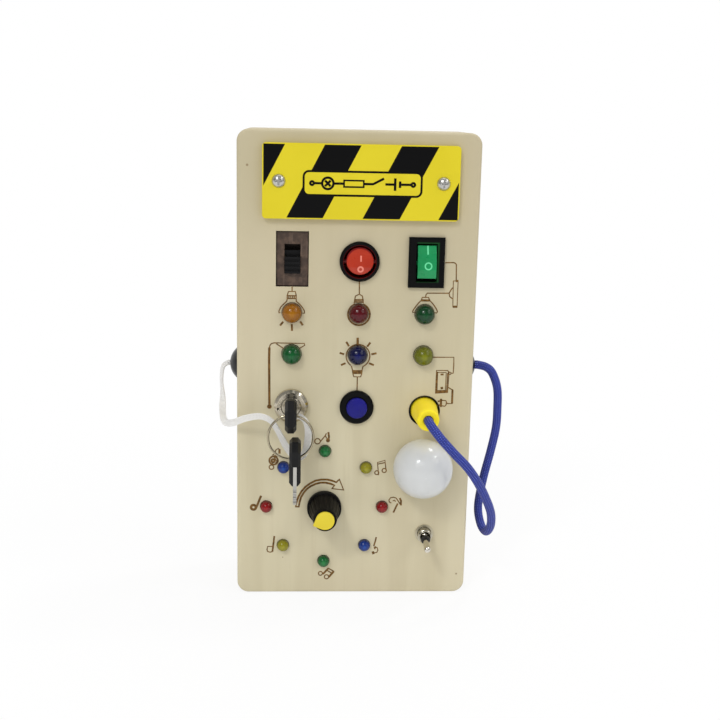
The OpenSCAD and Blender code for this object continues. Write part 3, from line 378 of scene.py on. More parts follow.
@dataclass(frozen=True)
class Basswood:
    """Pale lime wood, sanded, with its grain along one axis, and painted shade that darkens it towards the top.
    """

    name: str
    pale: Colour = tone(213, 204, 174)
    deep: Colour = tone(204, 194, 163)
    # colour of the painted shade that the wood takes towards the top
    upper: Colour = tone(184, 173, 142)
    along: Axis = Axis.Z
    burnt_walls: bool = False
    burnt_line: bool = False
    ridge: float = 0.04  # height of a burnt line's ridge
    broad: float = 70.0  # broad bands, streaks, pores and clouds to the metre
    streaks: float = 420.0
    pores: float = 2600.0
    clouds: float = 14.0
    char: float = 900.0  # spots in a burnt line
    drawn_out: float = 0.07  # scale along the grain
    top_shade: tuple[float, float, float] = (0.06, 0.20, 0.8)  # painted shade towards the top: from and to where, in metres, and how much
    cut: Plan = ((-45, 45), (FRONT + 0.08, -15), (6, 194))  # room of the holes
    knots: tuple[Place, ...] = ((-45.7, 185.6, 0.45), (46.5, 8.7, 0.4), (-30.2, 16.5, 0.25))

    def make(self) -> bpy.types.Material:
        """Builds the material.

        Returns:
            The material.
        """
        graph = Graph(self.name)
        stretch = [1.0, 1.0, 1.0]
        stretch[self.along.value] = self.drawn_out
        broad = graph.noise(self.broad, stretch, detail=2, distortion=0.5)
        streak = graph.noise(self.streaks, stretch, detail=4, roughness=0.62)
        pore = graph.noise(self.pores, [part * (0.6 if part < 1 else 1) for part in stretch], detail=2)
        cloud = graph.noise(self.clouds, detail=1)
        colour = graph.blend(graph.band(broad, 0.35, 0.68), self.pale, self.deep)
        # painted shade: the wood turns darker towards the top
        top_shade_share = graph.band(graph.axis(Axis.Z), *self.top_shade)
        colour = graph.blend(top_shade_share, colour, self.upper)
        colour = graph.blend(graph.band(cloud, 0.4, 0.75, 0.3), colour, tone(206, 192, 164))
        colour = graph.blend(graph.band(streak, 0.52, 0.8, 0.2), colour, tone(190, 177, 142))
        colour = graph.blend(graph.band(pore, 0.68, 0.82, 0.2), colour, tone(156, 136, 100))
        if self.burnt_walls:
            colour = self.burn_walls(graph, colour)
        if self.burnt_line:
            colour = self.burn_ridge(graph, colour)
        rough = graph.calc("MULTIPLY_ADD", streak, 0.18, 0.52)
        graph.relief(graph.calc("ADD", streak, pore), 0.03, 0.35, edge=0.0 if self.burnt_line else 0.25)
        return graph.finish(Base_Color=colour, Roughness=rough, Specular_IOR_Level=0.3)

    def burn_walls(self, graph: Graph, colour: Socket) -> Socket:
        """Browns the cut walls of the holes, and adds small knots.

        Args:
            graph: Tree of the material.
            colour: Colour of the wood.

        Returns:
            The browned colour.
        """
        wide, deep, high = (graph.within(axis, *limits) for axis, limits in zip(Axis, self.cut))
        inside = graph.times(graph.times(wide, high), deep)
        colour = graph.blend(inside, colour, tone(62, 44, 26))
        for across, up, radius in self.knots:
            colour = graph.blend(graph.times(graph.spot(across, up, radius, 0.6), 0.7),
                                 colour, tone(120, 88, 52))
        return colour

    def burn_ridge(self, graph: Graph, colour: Socket) -> Socket:
        """Browns a line by the height of its low ridge, so that its edges fade into the wood.

        Args:
            graph: Tree of the material.
            colour: Colour of the wood.

        Returns:
            The browned colour.
        """
        foot, crest = ((FRONT - self.ridge * share) * MM for share in (0.45, 0.9))
        core = graph.band(graph.axis(Axis.Y), foot, crest)
        mottle = graph.noise(self.char, detail=2)
        brown = graph.blend(graph.band(mottle, 0.35, 0.65), tone(88, 60, 22), tone(128, 92, 42))
        return graph.blend(core, colour, brown)


@dataclass(frozen=True)
class Moulded:
    """Moulded or lacquered plastic with a fine skin."""

    name: str
    colour: Colour
    shade: Colour | None = None
    roughness: float = 0.35
    coat: float = 0.0
    skin: float = 0.02  # depth of the skin's grain
    grain: float = 1400.0
    edge: float = 0.3
    soft_light: float = 0.0
    gloss: float = 0.5  # strength of the mirror share
    patches: float = 90.0  # paler patches and worn spots to the metre
    worn: float = 240.0
    coat_roughness: float = 0.12

    def make(self) -> bpy.types.Material:
        """Builds the material."""
        graph = Graph(self.name)
        return self.dress(graph, self.body_colour(graph))

    def body_colour(self, graph: Graph) -> Socket:
        """Gives the slightly uneven colour."""
        shade = self.shade or darker(self.colour, 0.8)
        return graph.blend(graph.band(graph.noise(self.patches, detail=2), 0.38, 0.72, 0.6), self.colour, shade)

    def dress(self, graph: Graph, colour: Socket) -> bpy.types.Material:
        """Sets the surface under a given colour.

        Args:
            graph: Tree of the material.
            colour: Colour to use.

        Returns:
            The material.
        """
        skin = graph.noise(self.grain, detail=2)
        wear = graph.noise(self.worn, detail=3)
        rough = graph.calc("MULTIPLY_ADD", wear, 0.16, self.roughness - 0.08)
        graph.relief(skin, self.skin, 0.5, edge=self.edge)
        sockets = {"Base_Color": colour, "Roughness": rough, "Specular_IOR_Level": self.gloss}
        if self.coat:
            sockets |= {"Coat_Weight": self.coat, "Coat_Roughness": self.coat_roughness}
        if self.soft_light:
            sockets |= {"Subsurface_Weight": self.soft_light, "Subsurface_Radius": (1.0, 1.0, 1.0),
                        "Subsurface_Scale": 0.004}
        return graph.finish(**sockets)


@dataclass(frozen=True)
class Mark:
    """Printed mark on a switch: a bar, or a ring where a radius is given."""

    across: float
    up: float
    width: float
    height: float = 0.0
    radius: float = 0.0

    def mask(self, graph: Graph) -> Socket:
        """Gives 1 on the mark.

        Args:
            graph: Tree of the material.

        Returns:
            The mark's mask.
        """
        if self.radius:
            away = graph.calc("SUBTRACT", graph.from_axis(self.across, self.up), self.radius * MM)
            half = self.width / 2
            return graph.band(graph.calc("ABSOLUTE", away), (half + PRINT_EDGE) * MM, (half - PRINT_EDGE) * MM)
        return graph.times(
            graph.within(Axis.X, self.across - self.width / 2, self.across + self.width / 2),
            graph.within(Axis.Z, self.up - self.height / 2, self.up + self.height / 2))


@dataclass(frozen=True)
class RecessShade:
    """Painted shade in the gap round a rocker's paddle, in a dark tint of the paddle's colour: round, or oblong
    where a half size is given.
    """

    tint: Colour
    across: float
    up: float
    radius: float = 0.0
    half: tuple[float, float] | None = None
    outer: bool = False  # painted shade lies outside the outline and not inside it

    def paint_shade(self, graph: Graph, colour: Socket) -> Socket:
        """Paints the shade over a colour there.

        Args:
            graph: Tree of the material.
            colour: Colour elsewhere.

        Returns:
            The colour with its painted shade.
        """
        if self.half:
            wide, high = self.half
            inside = graph.times(graph.within(Axis.X, self.across - wide, self.across + wide, 0.25),
                                 graph.within(Axis.Z, self.up - high, self.up + high, 0.25))
        else:
            inside = graph.spot(self.across, self.up, self.radius, 0.05)
        mask = graph.calc("SUBTRACT", 1.0, inside) if self.outer else inside
        return graph.blend(mask, colour, self.tint)


@dataclass(frozen=True)
class SwitchPlastic:
    """Plastic of a rocker switch, with its printed marks and the painted shade in the gap round the paddle."""

    base: Moulded
    recess_shade: RecessShade | None = None
    marks: tuple[Mark, ...] = ()
    ink: Colour = (1.0, 1.0, 1.0, 1.0)
    outside: tuple[float, float] = (FRONT - 1.2, FRONT - 1.6)  # from where to where marks come up

    def make(self) -> bpy.types.Material:
        """Builds the material.

        Returns:
            The material.
        """
        graph = Graph(self.base.name)
        colour = self.base.body_colour(graph)
        low, high = self.outside
        for mark in self.marks:
            outside = graph.band(graph.axis(Axis.Y), low * MM, high * MM)
            colour = graph.blend(graph.times(mark.mask(graph), outside), colour, self.ink)
        # painted shade in the gap round the paddle
        if self.recess_shade:
            colour = self.recess_shade.paint_shade(graph, colour)
        return self.base.dress(graph, colour)


@dataclass(frozen=True)
class Metal:
    """Plated or bare metal with fine scratches."""

    name: str
    colour: Colour = tone(205, 205, 203)
    roughness: float = 0.2
    turned: tuple[float, float] | None = None  # axis of turning marks
    thread: float = 0.0  # pitch of a thread along y
    tarnish: float = 0.35
    dull_spots: float = 160.0  # dull spots and fine scratches to the metre
    scratches: float = 1500.0
    turning: float = 42000.0  # turning marks, in radians to the metre
    dimple_shade: Place | None = None  # across, up and radius of the painted shade in a small dimple

    def make(self) -> bpy.types.Material:
        """Builds the material.

        Returns:
            The material.
        """
        graph = Graph(self.name)
        dull = graph.noise(self.dull_spots, detail=4, roughness=0.6)
        fine = graph.noise(self.scratches, (1, 1, 0.2), detail=2)
        colour = graph.blend(graph.band(dull, 0.42, 0.75, self.tarnish), self.colour,
                             darker(self.colour, 0.55))
        if self.dimple_shade:
            # painted shade: a dark spot where the dimple's hollow lies
            colour = graph.blend(graph.spot(*self.dimple_shade, soft=0.35), colour, tone(22, 19, 16))
        height = fine
        if self.turned:
            rings = graph.calc("SINE", graph.times(graph.from_axis(*self.turned), self.turning))
            height = graph.calc("MULTIPLY_ADD", rings, 0.25, fine)
        if self.thread:
            turns = graph.times(graph.axis(Axis.Y), 2 * math.pi / (self.thread * MM))
            height = graph.calc("MULTIPLY_ADD", graph.calc("SINE", turns), 6.0, fine)
        graph.relief(height, 0.012, 0.6, edge=0.2)
        rough = graph.calc("MULTIPLY_ADD", dull, 0.2, self.roughness - 0.1)
        return graph.finish(Base_Color=colour, Metallic=1.0, Roughness=rough)


@dataclass(frozen=True)
class LampLens:
    """Tinted lamp lens, with painted shade that deepens it towards its rim and painted light that makes its
    heart paler.
    """

    name: str
    rim: Colour
    body: Colour
    heart: Colour
    across: float
    up: float
    radius: float
    swirls: float = 520.0  # to the metre
    pull: float = 0.24  # how far they pull the tints about

    def make(self) -> bpy.types.Material:
        """Builds the material.

        Returns:
            The material.
        """
        graph = Graph(self.name)
        away = graph.calc("DIVIDE", graph.from_axis(self.across, self.up), self.radius * MM)
        swirl = graph.noise(self.swirls, detail=3, distortion=1.2)
        away = graph.calc("MULTIPLY_ADD", swirl, self.pull, graph.calc("SUBTRACT", away, self.pull / 2))
        # painted light: the heart is paler, where the lamp's lit inner cup would show through
        colour = graph.blend(graph.band(away, 0.1, 0.5), self.heart, self.body)
        # painted shade: the lens darkens towards its rim
        colour = graph.blend(graph.band(away, 0.76, 1.08), colour, self.rim)
        graph.relief(graph.noise(300, detail=2), 0.03, 0.25)
        return graph.finish(Base_Color=colour, Roughness=0.25, Specular_IOR_Level=0.1,
                            Coat_Weight=0.55, Coat_Roughness=0.1)


PLATE_YELLOW = tone(222, 205, 44)
PLATE_SHADE = tone(214, 196, 38)
PLATE_BLACK = tone(8, 8, 9)


@dataclass(frozen=True)
class StripedPlate:
    """Yellow gloss plate with slanted black stripes printed on its face."""

    name: str = "striped_plate"
    lean: float = 0.52  # how far a stripe goes across for each step down
    bands: Plan = ((-60.0, -30.1), (-14.1, 0.7), (17.0, 32.2), (48.1, 90.0))
    margin: float = 0.5  # yellow edge round the stripes
    edges: tuple[float, float, float, float] = (-39.6, 41.0, 164.3, 194.8)

    def make(self) -> bpy.types.Material:
        """Builds the material.

        Returns:
            The material.
        """
        graph = Graph(self.name)
        left, right, low, high = self.edges
        down = graph.calc("SUBTRACT", high * MM, graph.axis(Axis.Z))
        slide = graph.calc("MULTIPLY_ADD", down, self.lean, graph.axis(Axis.X))
        ink = 0.0
        for start, end in self.bands:
            ink = graph.calc("MAXIMUM", graph.between(slide, start, end), ink)
        inner = graph.times(graph.within(Axis.X, left + self.margin, right - self.margin),
                            graph.within(Axis.Z, low + self.margin, high - self.margin))
        face = graph.band(graph.axis(Axis.Y), (PLATE_FACE + 0.12) * MM, (PLATE_FACE + 0.04) * MM)
        yellow = graph.blend(graph.band(graph.noise(40, detail=1), 0.35, 0.7, 0.5), PLATE_YELLOW,
                             PLATE_SHADE)
        colour = graph.blend(graph.times(ink, graph.times(inner, face)), yellow, PLATE_BLACK)
        rough = graph.calc("MULTIPLY_ADD", graph.noise(300, detail=3), 0.1, 0.3)
        graph.relief(graph.noise(60, detail=1), 0.02, 0.2, edge=0.25)
        return graph.finish(Base_Color=colour, Roughness=rough, Specular_IOR_Level=0.12)


@dataclass(frozen=True)
class Phenolic:
    """Brown mottled pressed sheet with upright scuffs."""

    name: str = "brown_sheet"
    mottles: float = 380.0  # mottles and scuffs to the metre
    scuffs: float = 1500.0

    def make(self) -> bpy.types.Material:
        """Builds the material.

        Returns:
            The material.
        """
        graph = Graph(self.name)
        mottle = graph.noise(self.mottles, detail=4, roughness=0.65)
        scuff = graph.noise(self.scuffs, (1, 1, 0.05), detail=3)
        colour = graph.blend(graph.band(mottle, 0.38, 0.66), tone(64, 47, 36), tone(94, 73, 58))
        colour = graph.blend(graph.band(scuff, 0.58, 0.76, 0.45), colour, tone(126, 106, 92))
        graph.relief(scuff, 0.02, 0.5, edge=0.15)
        return graph.finish(Base_Color=colour, Roughness=0.55)


@dataclass(frozen=True)
class Braid:
    """Braided sheath read from the cord's own map: across is one turn, along is metres."""

    name: str = "blue_braid"
    colour: Colour = tone(28, 50, 172)
    pale: Colour = tone(124, 150, 236)
    # colour of the painted shade in the grooves between strands, and of random dark flecks
    dark: Colour = tone(6, 14, 88)
    strands: int = 12
    pitch: float = 9.0  # one strand's turn along the cord

    def make(self) -> bpy.types.Material:
        """Builds the material.

        Returns:
            The material.
        """
        graph = Graph(self.name)
        around = graph.times(graph.axis(Axis.X, "UV"), float(self.strands))
        along = graph.times(graph.axis(Axis.Y, "UV"), self.strands / (self.pitch * MM))
        waves = [graph.calc("SINE", graph.times(graph.calc(step, around, along), math.pi))
                 for step in ("ADD", "SUBTRACT")]
        raised = graph.calc("MAXIMUM", graph.calc("ABSOLUTE", waves[0]), graph.calc("ABSOLUTE", waves[1]))
        cross = graph.times(waves[0], waves[1])
        # painted shade: darker in the grooves between the strands
        colour = graph.blend(graph.band(raised, 0.72, 0.98), self.dark, self.colour)
        colour = graph.blend(graph.band(cross, 0.45, 0.95, 0.75), colour, self.pale)
        colour = graph.blend(graph.band(graph.noise(700, detail=2), 0.45, 0.75, 0.3), colour, self.dark)
        graph.relief(raised, 0.18, 0.8)
        return graph.finish(Base_Color=colour, Roughness=0.6, Sheen_Weight=0.06, Sheen_Roughness=0.4)


@dataclass(frozen=True)
class Weave:
    """Flat woven lace, white and a little clear."""

    name: str = "white_weave"
    rib: float = 0.32  # width of one rib
    width: float = 2.4

    def make(self) -> bpy.types.Material:
        """Builds the material.

        Returns:
            The material.
        """
        graph = Graph(self.name)
        across = graph.times(graph.axis(Axis.X, "UV"), math.pi * self.width / self.rib)
        along = graph.times(graph.axis(Axis.Y, "UV"), math.pi / (self.rib * MM))
        ribs = graph.times(graph.calc("SINE", across), graph.calc("SINE", along))
        colour = graph.blend(graph.band(ribs, -0.8, 0.6), tone(214, 212, 208), tone(244, 243, 240))
        graph.relief(ribs, 0.05, 0.6)
        return graph.finish(Base_Color=colour, Roughness=0.7, Subsurface_Weight=0.35,
                            Subsurface_Radius=(1.0, 1.0, 1.0), Subsurface_Scale=0.0015,
                            Sheen_Weight=0.2)


STEEL = Metal("plain_steel", tone(200, 199, 195), 0.3)
BLACK = Moulded("black_plastic", tone(15, 15, 16), roughness=0.4, gloss=0.2, skin=0.03)


def dress(finish: Finish, *nodes: str) -> None:
    """Gives solids of the frame a finish.

    Args:
        finish: The finish.
        *nodes: Names of the solids.
    """
    material = material_of(finish)
    for name in nodes:
        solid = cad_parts[name]
        solid.data.materials.clear()
        solid.data.materials.append(material)
        LOG.info("solid %s is finished in %s", name, material.name)


def settle(piece: bpy.types.Object, body: Body, finish: Finish) -> None:
    """Dresses a finished piece and lets it ride.

    Args:
        piece: Piece at its place.
        body: Body that it rides on.
        finish: Its finish.
    """
    deselect()
    piece.data.materials.clear()
    piece.data.materials.append(material_of(finish))
    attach(piece, body.value)
    LOG.info("piece %s rides on %s", piece.name, body.value)


# ---------- shapes ----------


@dataclass(frozen=True)
class Route:
    """Middle line of a cord through given points."""

    points: tuple[Place, ...]
    steps: int = 14

    def line(self) -> list[Vector]:
        """Gives the smooth line through the points, in metres.

        Returns:
            The line's points.
        """
        knots = [Vector(point) * MM for point in self.points]
        last = len(knots) - 1
        line = []
        for index in range(last):
            a, b, c, d = (knots[max(index - 1, 0)], knots[index], knots[index + 1],
                          knots[min(index + 2, last)])
            for step in range(self.steps):
                t = step / self.steps
                line.append(0.5 * (2 * b + (c - a) * t + (2 * a - 5 * b + 4 * c - d) * t ** 2
                                   + (3 * b - a - 3 * c + d) * t ** 3))
        return line + [knots[last]]


def length_of(line: Sequence[Vector]) -> float:
    """Adds up the length of a line."""
    return sum((b - a).length for a, b in zip(line, line[1:]))


def ring_points(radius: float, sides: int) -> Plan:
    """Gives the points of a circle."""
    angles = (2 * math.pi * k / sides for k in range(sides))
    return tuple((radius * math.cos(angle), radius * math.sin(angle)) for angle in angles)


def flat_section(width: float, thick: float) -> Plan:
    """Gives the points of a flat band whose two selvages are a little fuller.

    Args:
        width: Width of the band.
        thick: Its thickness at the selvages.

    Returns:
        The points.
    """
    half, mid = width / 2, thick / 2
    upper = [(half, 0.0), (half * 0.93, mid), (half * 0.7, mid * 0.8), (half * 0.35, mid * 0.62),
             (0.0, mid * 0.6), (-half * 0.35, mid * 0.62), (-half * 0.7, mid * 0.8), (-half * 0.93, mid)]
    return tuple(upper + [(-x, -y) for x, y in upper])


@dataclass(frozen=True)
class Sweep:
    """Closed solid swept along a line: a section of points across and out, with its own map."""

    line: tuple[Vector, ...]  # metres
    section: Plan  # counter-clockwise
    facing: Place = (0, -1, 0)
    rolls: Plan = ((0.0, 0.0), (1.0, 0.0))  # share of length, degrees
    widths: Plan = ((0.0, 1.0), (1.0, 1.0))  # share of length, stretch across
    carried: bool = False  # section is carried along without twist

    @staticmethod
    def read(table: Plan, share: float) -> float:
        """Reads a table at a share of the length, eased between its rows.

        Args:
            table: Shares of the length with their values.
            share: Share of the length.

        Returns:
            The value there.
        """
        for (low, start), (high, end) in zip(table, table[1:]):
            if share <= high:
                t = (share - low) / (high - low)
                return start + (end - start) * t * t * (3 - 2 * t)
        return table[-1][1]

    def rings(self) -> tuple[list[Vector], list[float]]:
        """Sets the section along the line.

        Returns:
            Its points, and each ring's place along the line.
        """
        verts, lengths = [], []
        last, total, gone = len(self.line) - 1, length_of(self.line), 0.0
        facing = out = Vector(self.facing)
        for index, here in enumerate(self.line):
            ahead = (self.line[min(index + 1, last)] - self.line[max(index - 1, 0)]).normalized()
            if index:
                gone += (here - self.line[index - 1]).length
            base = out if self.carried else facing
            out = (base - ahead * base.dot(ahead)).normalized()
            turned = Matrix.Rotation(math.radians(self.read(self.rolls, gone / total)), 3, ahead) @ out
            across = ahead.cross(turned).normalized() * self.read(self.widths, gone / total)
            verts += [here + (across * x + turned * y) * MM for x, y in self.section]
            lengths.append(gone)
        return verts, lengths

    def build(self, name: str) -> bpy.types.Object:
        """Makes the solid.

        Args:
            name: Name of the piece.

        Returns:
            The piece.
        """
        verts, lengths = self.rings()
        count = len(self.section)
        faces = []
        for low in range(0, len(verts) - count, count):
            for side in range(count):
                after = low + (side + 1) % count
                faces.append((low + side, low + side + count, after + count, after))
        faces += [tuple(range(count)), tuple(reversed(range(len(verts) - count, len(verts))))]
        mesh = bpy.data.meshes.new(name)
        mesh.from_pydata(verts, [], faces)
        layer = mesh.uv_layers.new(name="length_map")
        for polygon in mesh.polygons:
            for corner, vertex in zip(polygon.loop_indices, polygon.vertices):
                ring, side = divmod(vertex, count)
                if polygon.index % count == count - 1 and side == 0 and polygon.loop_total == 4:
                    side = count
                layer.data[corner].uv = (side / count, lengths[ring])
        add(name, mesh)
        edit()
        return close_edit(smooth=50)


@dataclass(frozen=True)
class Stroke:
    """One drawn line in the plane of the front."""

    points: Plan
    closed: bool = False
    weight: float = 1.0  # share of the drawing's line width


def arc(across: float, up: float, radius: float, start: float = 0.0, end: float = 360.0,
        weight: float = 1.0) -> Stroke:
    """Draws an arc or a circle.

    Args:
        across: Centre along x.
        up: Centre along z.
        radius: Its radius.
        start: First angle in degrees, from the right, counter-clockwise.
        end: Last angle.
        weight: Share of the drawing's line width.

    Returns:
        The line.
    """
    steps = max(12, int(abs(end - start) / 6))
    whole = abs(end - start) >= 360
    points = []
    for step in range(steps if whole else steps + 1):
        angle = math.radians(start + (end - start) * step / steps)
        points.append((across + radius * math.cos(angle), up + radius * math.sin(angle)))
    return Stroke(tuple(points), closed=whole, weight=weight)


def path(*places: float, closed: bool = False, weight: float = 1.0) -> Stroke:
    """Draws a line through points, given as x and z in turn."""
    return Stroke(tuple(zip(places[::2], places[1::2])), closed, weight)


def draw(name: str, strokes: Iterable[Stroke], width: float, face: float, ridge: float) -> bpy.types.Object:
    """Makes a drawing of low round ridges on a plane that faces forwards.

    Args:
        name: Name of the piece.
        strokes: Lines of the drawing.
        width: Width of a line.
        face: Place of the plane along y.
        ridge: Height of the ridges.

    Returns:
        The piece.
    """
    curve = bpy.data.curves.new(name, "CURVE")
    curve.dimensions = "3D"
    curve.bevel_depth = width / 2 * MM
    curve.bevel_resolution = 3
    curve.use_fill_caps = True
    for stroke in strokes:
        spline = curve.splines.new("POLY")
        spline.points.add(len(stroke.points) - 1)
        for point, (across, up) in zip(spline.points, stroke.points):
            point.co = (across * MM, face * MM, up * MM, 1.0)
            point.radius = stroke.weight
        spline.use_cyclic_u = stroke.closed
    add(name, curve)
    bpy.ops.object.convert(target="MESH")
    edit()
    bpy.ops.transform.resize(value=(1.0, ridge / (width / 2), 1.0), center_override=(0.0, face * MM, 0.0))
    return close_edit(smooth=60)


# ---------- sub-assemblies ----------


@dataclass
class Box:
    """Wooden box: front panel, frame, back panel and its screws."""

    def build(self) -> None:
        """Dresses the box."""
        dress(Basswood("front_wood", burnt_walls=True), "front_panel")
        dress(Basswood("frame_wood", pale=tone(208, 196, 160), deep=tone(190, 172, 130)), "box_frame")
        dress(Basswood("back_wood", pale=tone(206, 195, 160), deep=tone(192, 176, 138)), "back_panel")
        dress(STEEL, "back_screws")


@dataclass
class WarningPlate:
    """Striped plate with two screws and a plain label band printed in its middle."""

    centre: tuple[float, float] = (1.2, 178.9)
    size: tuple[float, float] = (48.0, 9.6)
    corner: float = 2.2
    thick: float = 0.04
    proud: float = 0.02  # of the band over the plate
    outline: float = 0.9
    line_width: float = 1.0
    ink_ridge: float = 0.03

    def build(self) -> None:
        """Dresses the plate and prints its band."""
        dress(StripedPlate(), "sign_plate")
        dress(STEEL, "sign_screws")
        yellow = Moulded("label_yellow", PLATE_YELLOW, PLATE_SHADE, roughness=0.35, gloss=0.12, edge=0.0)
        black = Moulded("label_black", PLATE_BLACK, roughness=0.35, gloss=0.12, edge=0.0)
        settle(self.band(), Body.BOARD, yellow)
        settle(self.border(), Body.BOARD, black)
        settle(self.symbols(), Body.BOARD, black)

    def band(self) -> bpy.types.Object:
        """Makes the thin round-cornered band under the symbols.

        Returns:
            The piece.
        """
        deselect()
        across, up = self.centre
        place = (across * MM, (PLATE_FACE - self.proud) * MM, up * MM)
        bpy.ops.mesh.primitive_plane_add(size=MM, location=place, rotation=(math.pi / 2, 0, 0))
        piece = bpy.context.object
        piece.name = "label_band"
        piece.scale = (*self.size, 1)
        bpy.ops.object.transform_apply(location=True, rotation=True, scale=True)
        edit()
        bpy.ops.mesh.bevel(offset=self.corner * MM, segments=8, affect="VERTICES")
        bpy.ops.mesh.extrude_region_move(TRANSFORM_OT_translate={"value": (0, self.thick * MM, 0)})
        return close_edit()

    def border(self) -> bpy.types.Object:
        """Draws the band's black outline.

        Returns:
            The piece.
        """
        across, up = self.centre
        wide, high = self.size[0] / 2 - self.corner, self.size[1] / 2 - self.corner
        points = []
        for sx, sz, start in ((1, 1, 0), (-1, 1, 90), (-1, -1, 180), (1, -1, 270)):
            points += arc(across + sx * wide, up + sz * high, self.corner, start, start + 90).points
        return draw("label_outline", [Stroke(tuple(points), closed=True)], self.outline,
                    PLATE_FACE - 0.03, self.ink_ridge)

    def symbols(self) -> bpy.types.Object:
        """Draws a plain circuit: terminal, lamp, resistor, switch, cell and terminal.

        Returns:
            The piece.
        """
        x, z = self.centre
        lamp, plus, minus, cross = x - 14.2, x + 13.2, x + 15.2, 1.6 * math.cos(math.pi / 4)
        strokes = [
            arc(x - 20.6, z, 0.7), path(x - 19.9, z, x - 16.6, z), arc(lamp, z, 2.3),
            path(lamp - cross, z - cross, lamp + cross, z + cross),
            path(lamp - cross, z + cross, lamp + cross, z - cross), path(x - 11.8, z, x - 7.6, z),
            path(x - 7.6, z - 1.3, x + 0.4, z - 1.3, x + 0.4, z + 1.3, x - 7.6, z + 1.3, closed=True),
            path(x + 0.4, z, x + 4.2, z, x + 8.6, z + 2.3), path(x + 9.2, z, plus, z),
            path(plus, z - 2.5, plus, z + 2.5), path(minus, z - 1.3, minus, z + 1.3),
            path(minus, z, x + 19.9, z), arc(x + 20.6, z, 0.7),
        ]
        return draw("label_symbols", strokes, self.line_width, PLATE_FACE - 0.05, self.ink_ridge)


@dataclass
class Switches:
    """Slide switch, two rocker switches and the push button."""

    def build(self) -> None:
        """Dresses the switches."""
        dress(Phenolic(), "slide_switch_body")
        dress(BLACK, "slide_switch_slider", "push_button_nut")
        self.dress_rockers()
        dress(Moulded("blue_cap", tone(24, 22, 128), tone(18, 16, 104), roughness=0.36, gloss=0.25,
                      soft_light=0.1), "push_button_cap")
        ButtonSpring().build()

    @staticmethod
    def dress_rockers() -> None:
        """Dresses both rocker switches and the push button's rim."""
        rim = Moulded("switch_rim", tone(10, 10, 11), roughness=0.34, gloss=0.1, edge=0.35)
        dress(rim, "push_button_housing")
        # painted shade: dark red inside the round housing's opening round the red paddle
        dress(SwitchPlastic(replace(rim, name="round_rim"), RecessShade(tone(150, 10, 14), 0.7, 147.0, 6.75)),
              "round_rocker_housing")
        # painted shade: dark green inside the oblong housing's opening round the green paddle
        gap = RecessShade(tone(20, 66, 30), 29.0, 147.2, half=(4.6, 8.3))
        dress(SwitchPlastic(replace(rim, name="oblong_rim"), gap), "square_rocker_housing")
        red = Moulded("red_paddle", tone(180, 52, 28), tone(160, 36, 18), roughness=0.3, coat=0.15,
                      soft_light=0.1, gloss=0.3, edge=0.4)
        # painted shade: dark red round the red paddle's edge, where it sinks under the rim
        dress(SwitchPlastic(red, RecessShade(tone(120, 8, 10), 0.8, 146.9, 5.5, outer=True),
                            (Mark(1.1, 148.6, 0.65, 2.4), Mark(0.95, 144.2, 0.7, radius=1.0)),
                            tone(232, 134, 118)), "round_rocker_paddle")
        green = Moulded("green_paddle", tone(24, 150, 88), tone(20, 130, 74), roughness=0.3, coat=0.15,
                        soft_light=0.15, gloss=0.3, edge=0.4)
        dress(SwitchPlastic(green, None, (Mark(28.75, 152.4, 0.65, 3.5), Mark(29.0, 145.9, 0.55, radius=1.35)),
                            tone(112, 222, 164)), "square_rocker_paddle")


@dataclass
class ButtonSpring:
    """Coil spring behind the push button's cap."""

    radius: float = 3.2
    wire: float = 0.34
    front: float = -15.0
    back: float = -6.0
    turns: int = 5
    steps: int = 28  # in a turn
    travel: float = 1.5

    def build(self) -> None:
        """Winds the spring, hangs it on the board and hides the packed spring."""
        x, z = BUTTON_PLACE
        count = self.steps * self.turns
        start, end = self.back - self.wire, self.front + self.wire
        around = ring_points(self.radius, self.steps)
        line = tuple(Vector((x + around[k % self.steps][0], start + (end - start) * k / count,
                             z + around[k % self.steps][1])) * MM for k in range(count + 1))
        spring = Sweep(line, ring_points(self.wire, 12)).build("coil_spring")
        spring.data.materials.append(material_of(Metal("spring_wire", roughness=0.35)))
        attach(spring, Body.BOARD.value)
        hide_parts("push_button_spring")
        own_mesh(spring)
        LOG.info("piece %s shortens with the button", spring.name)


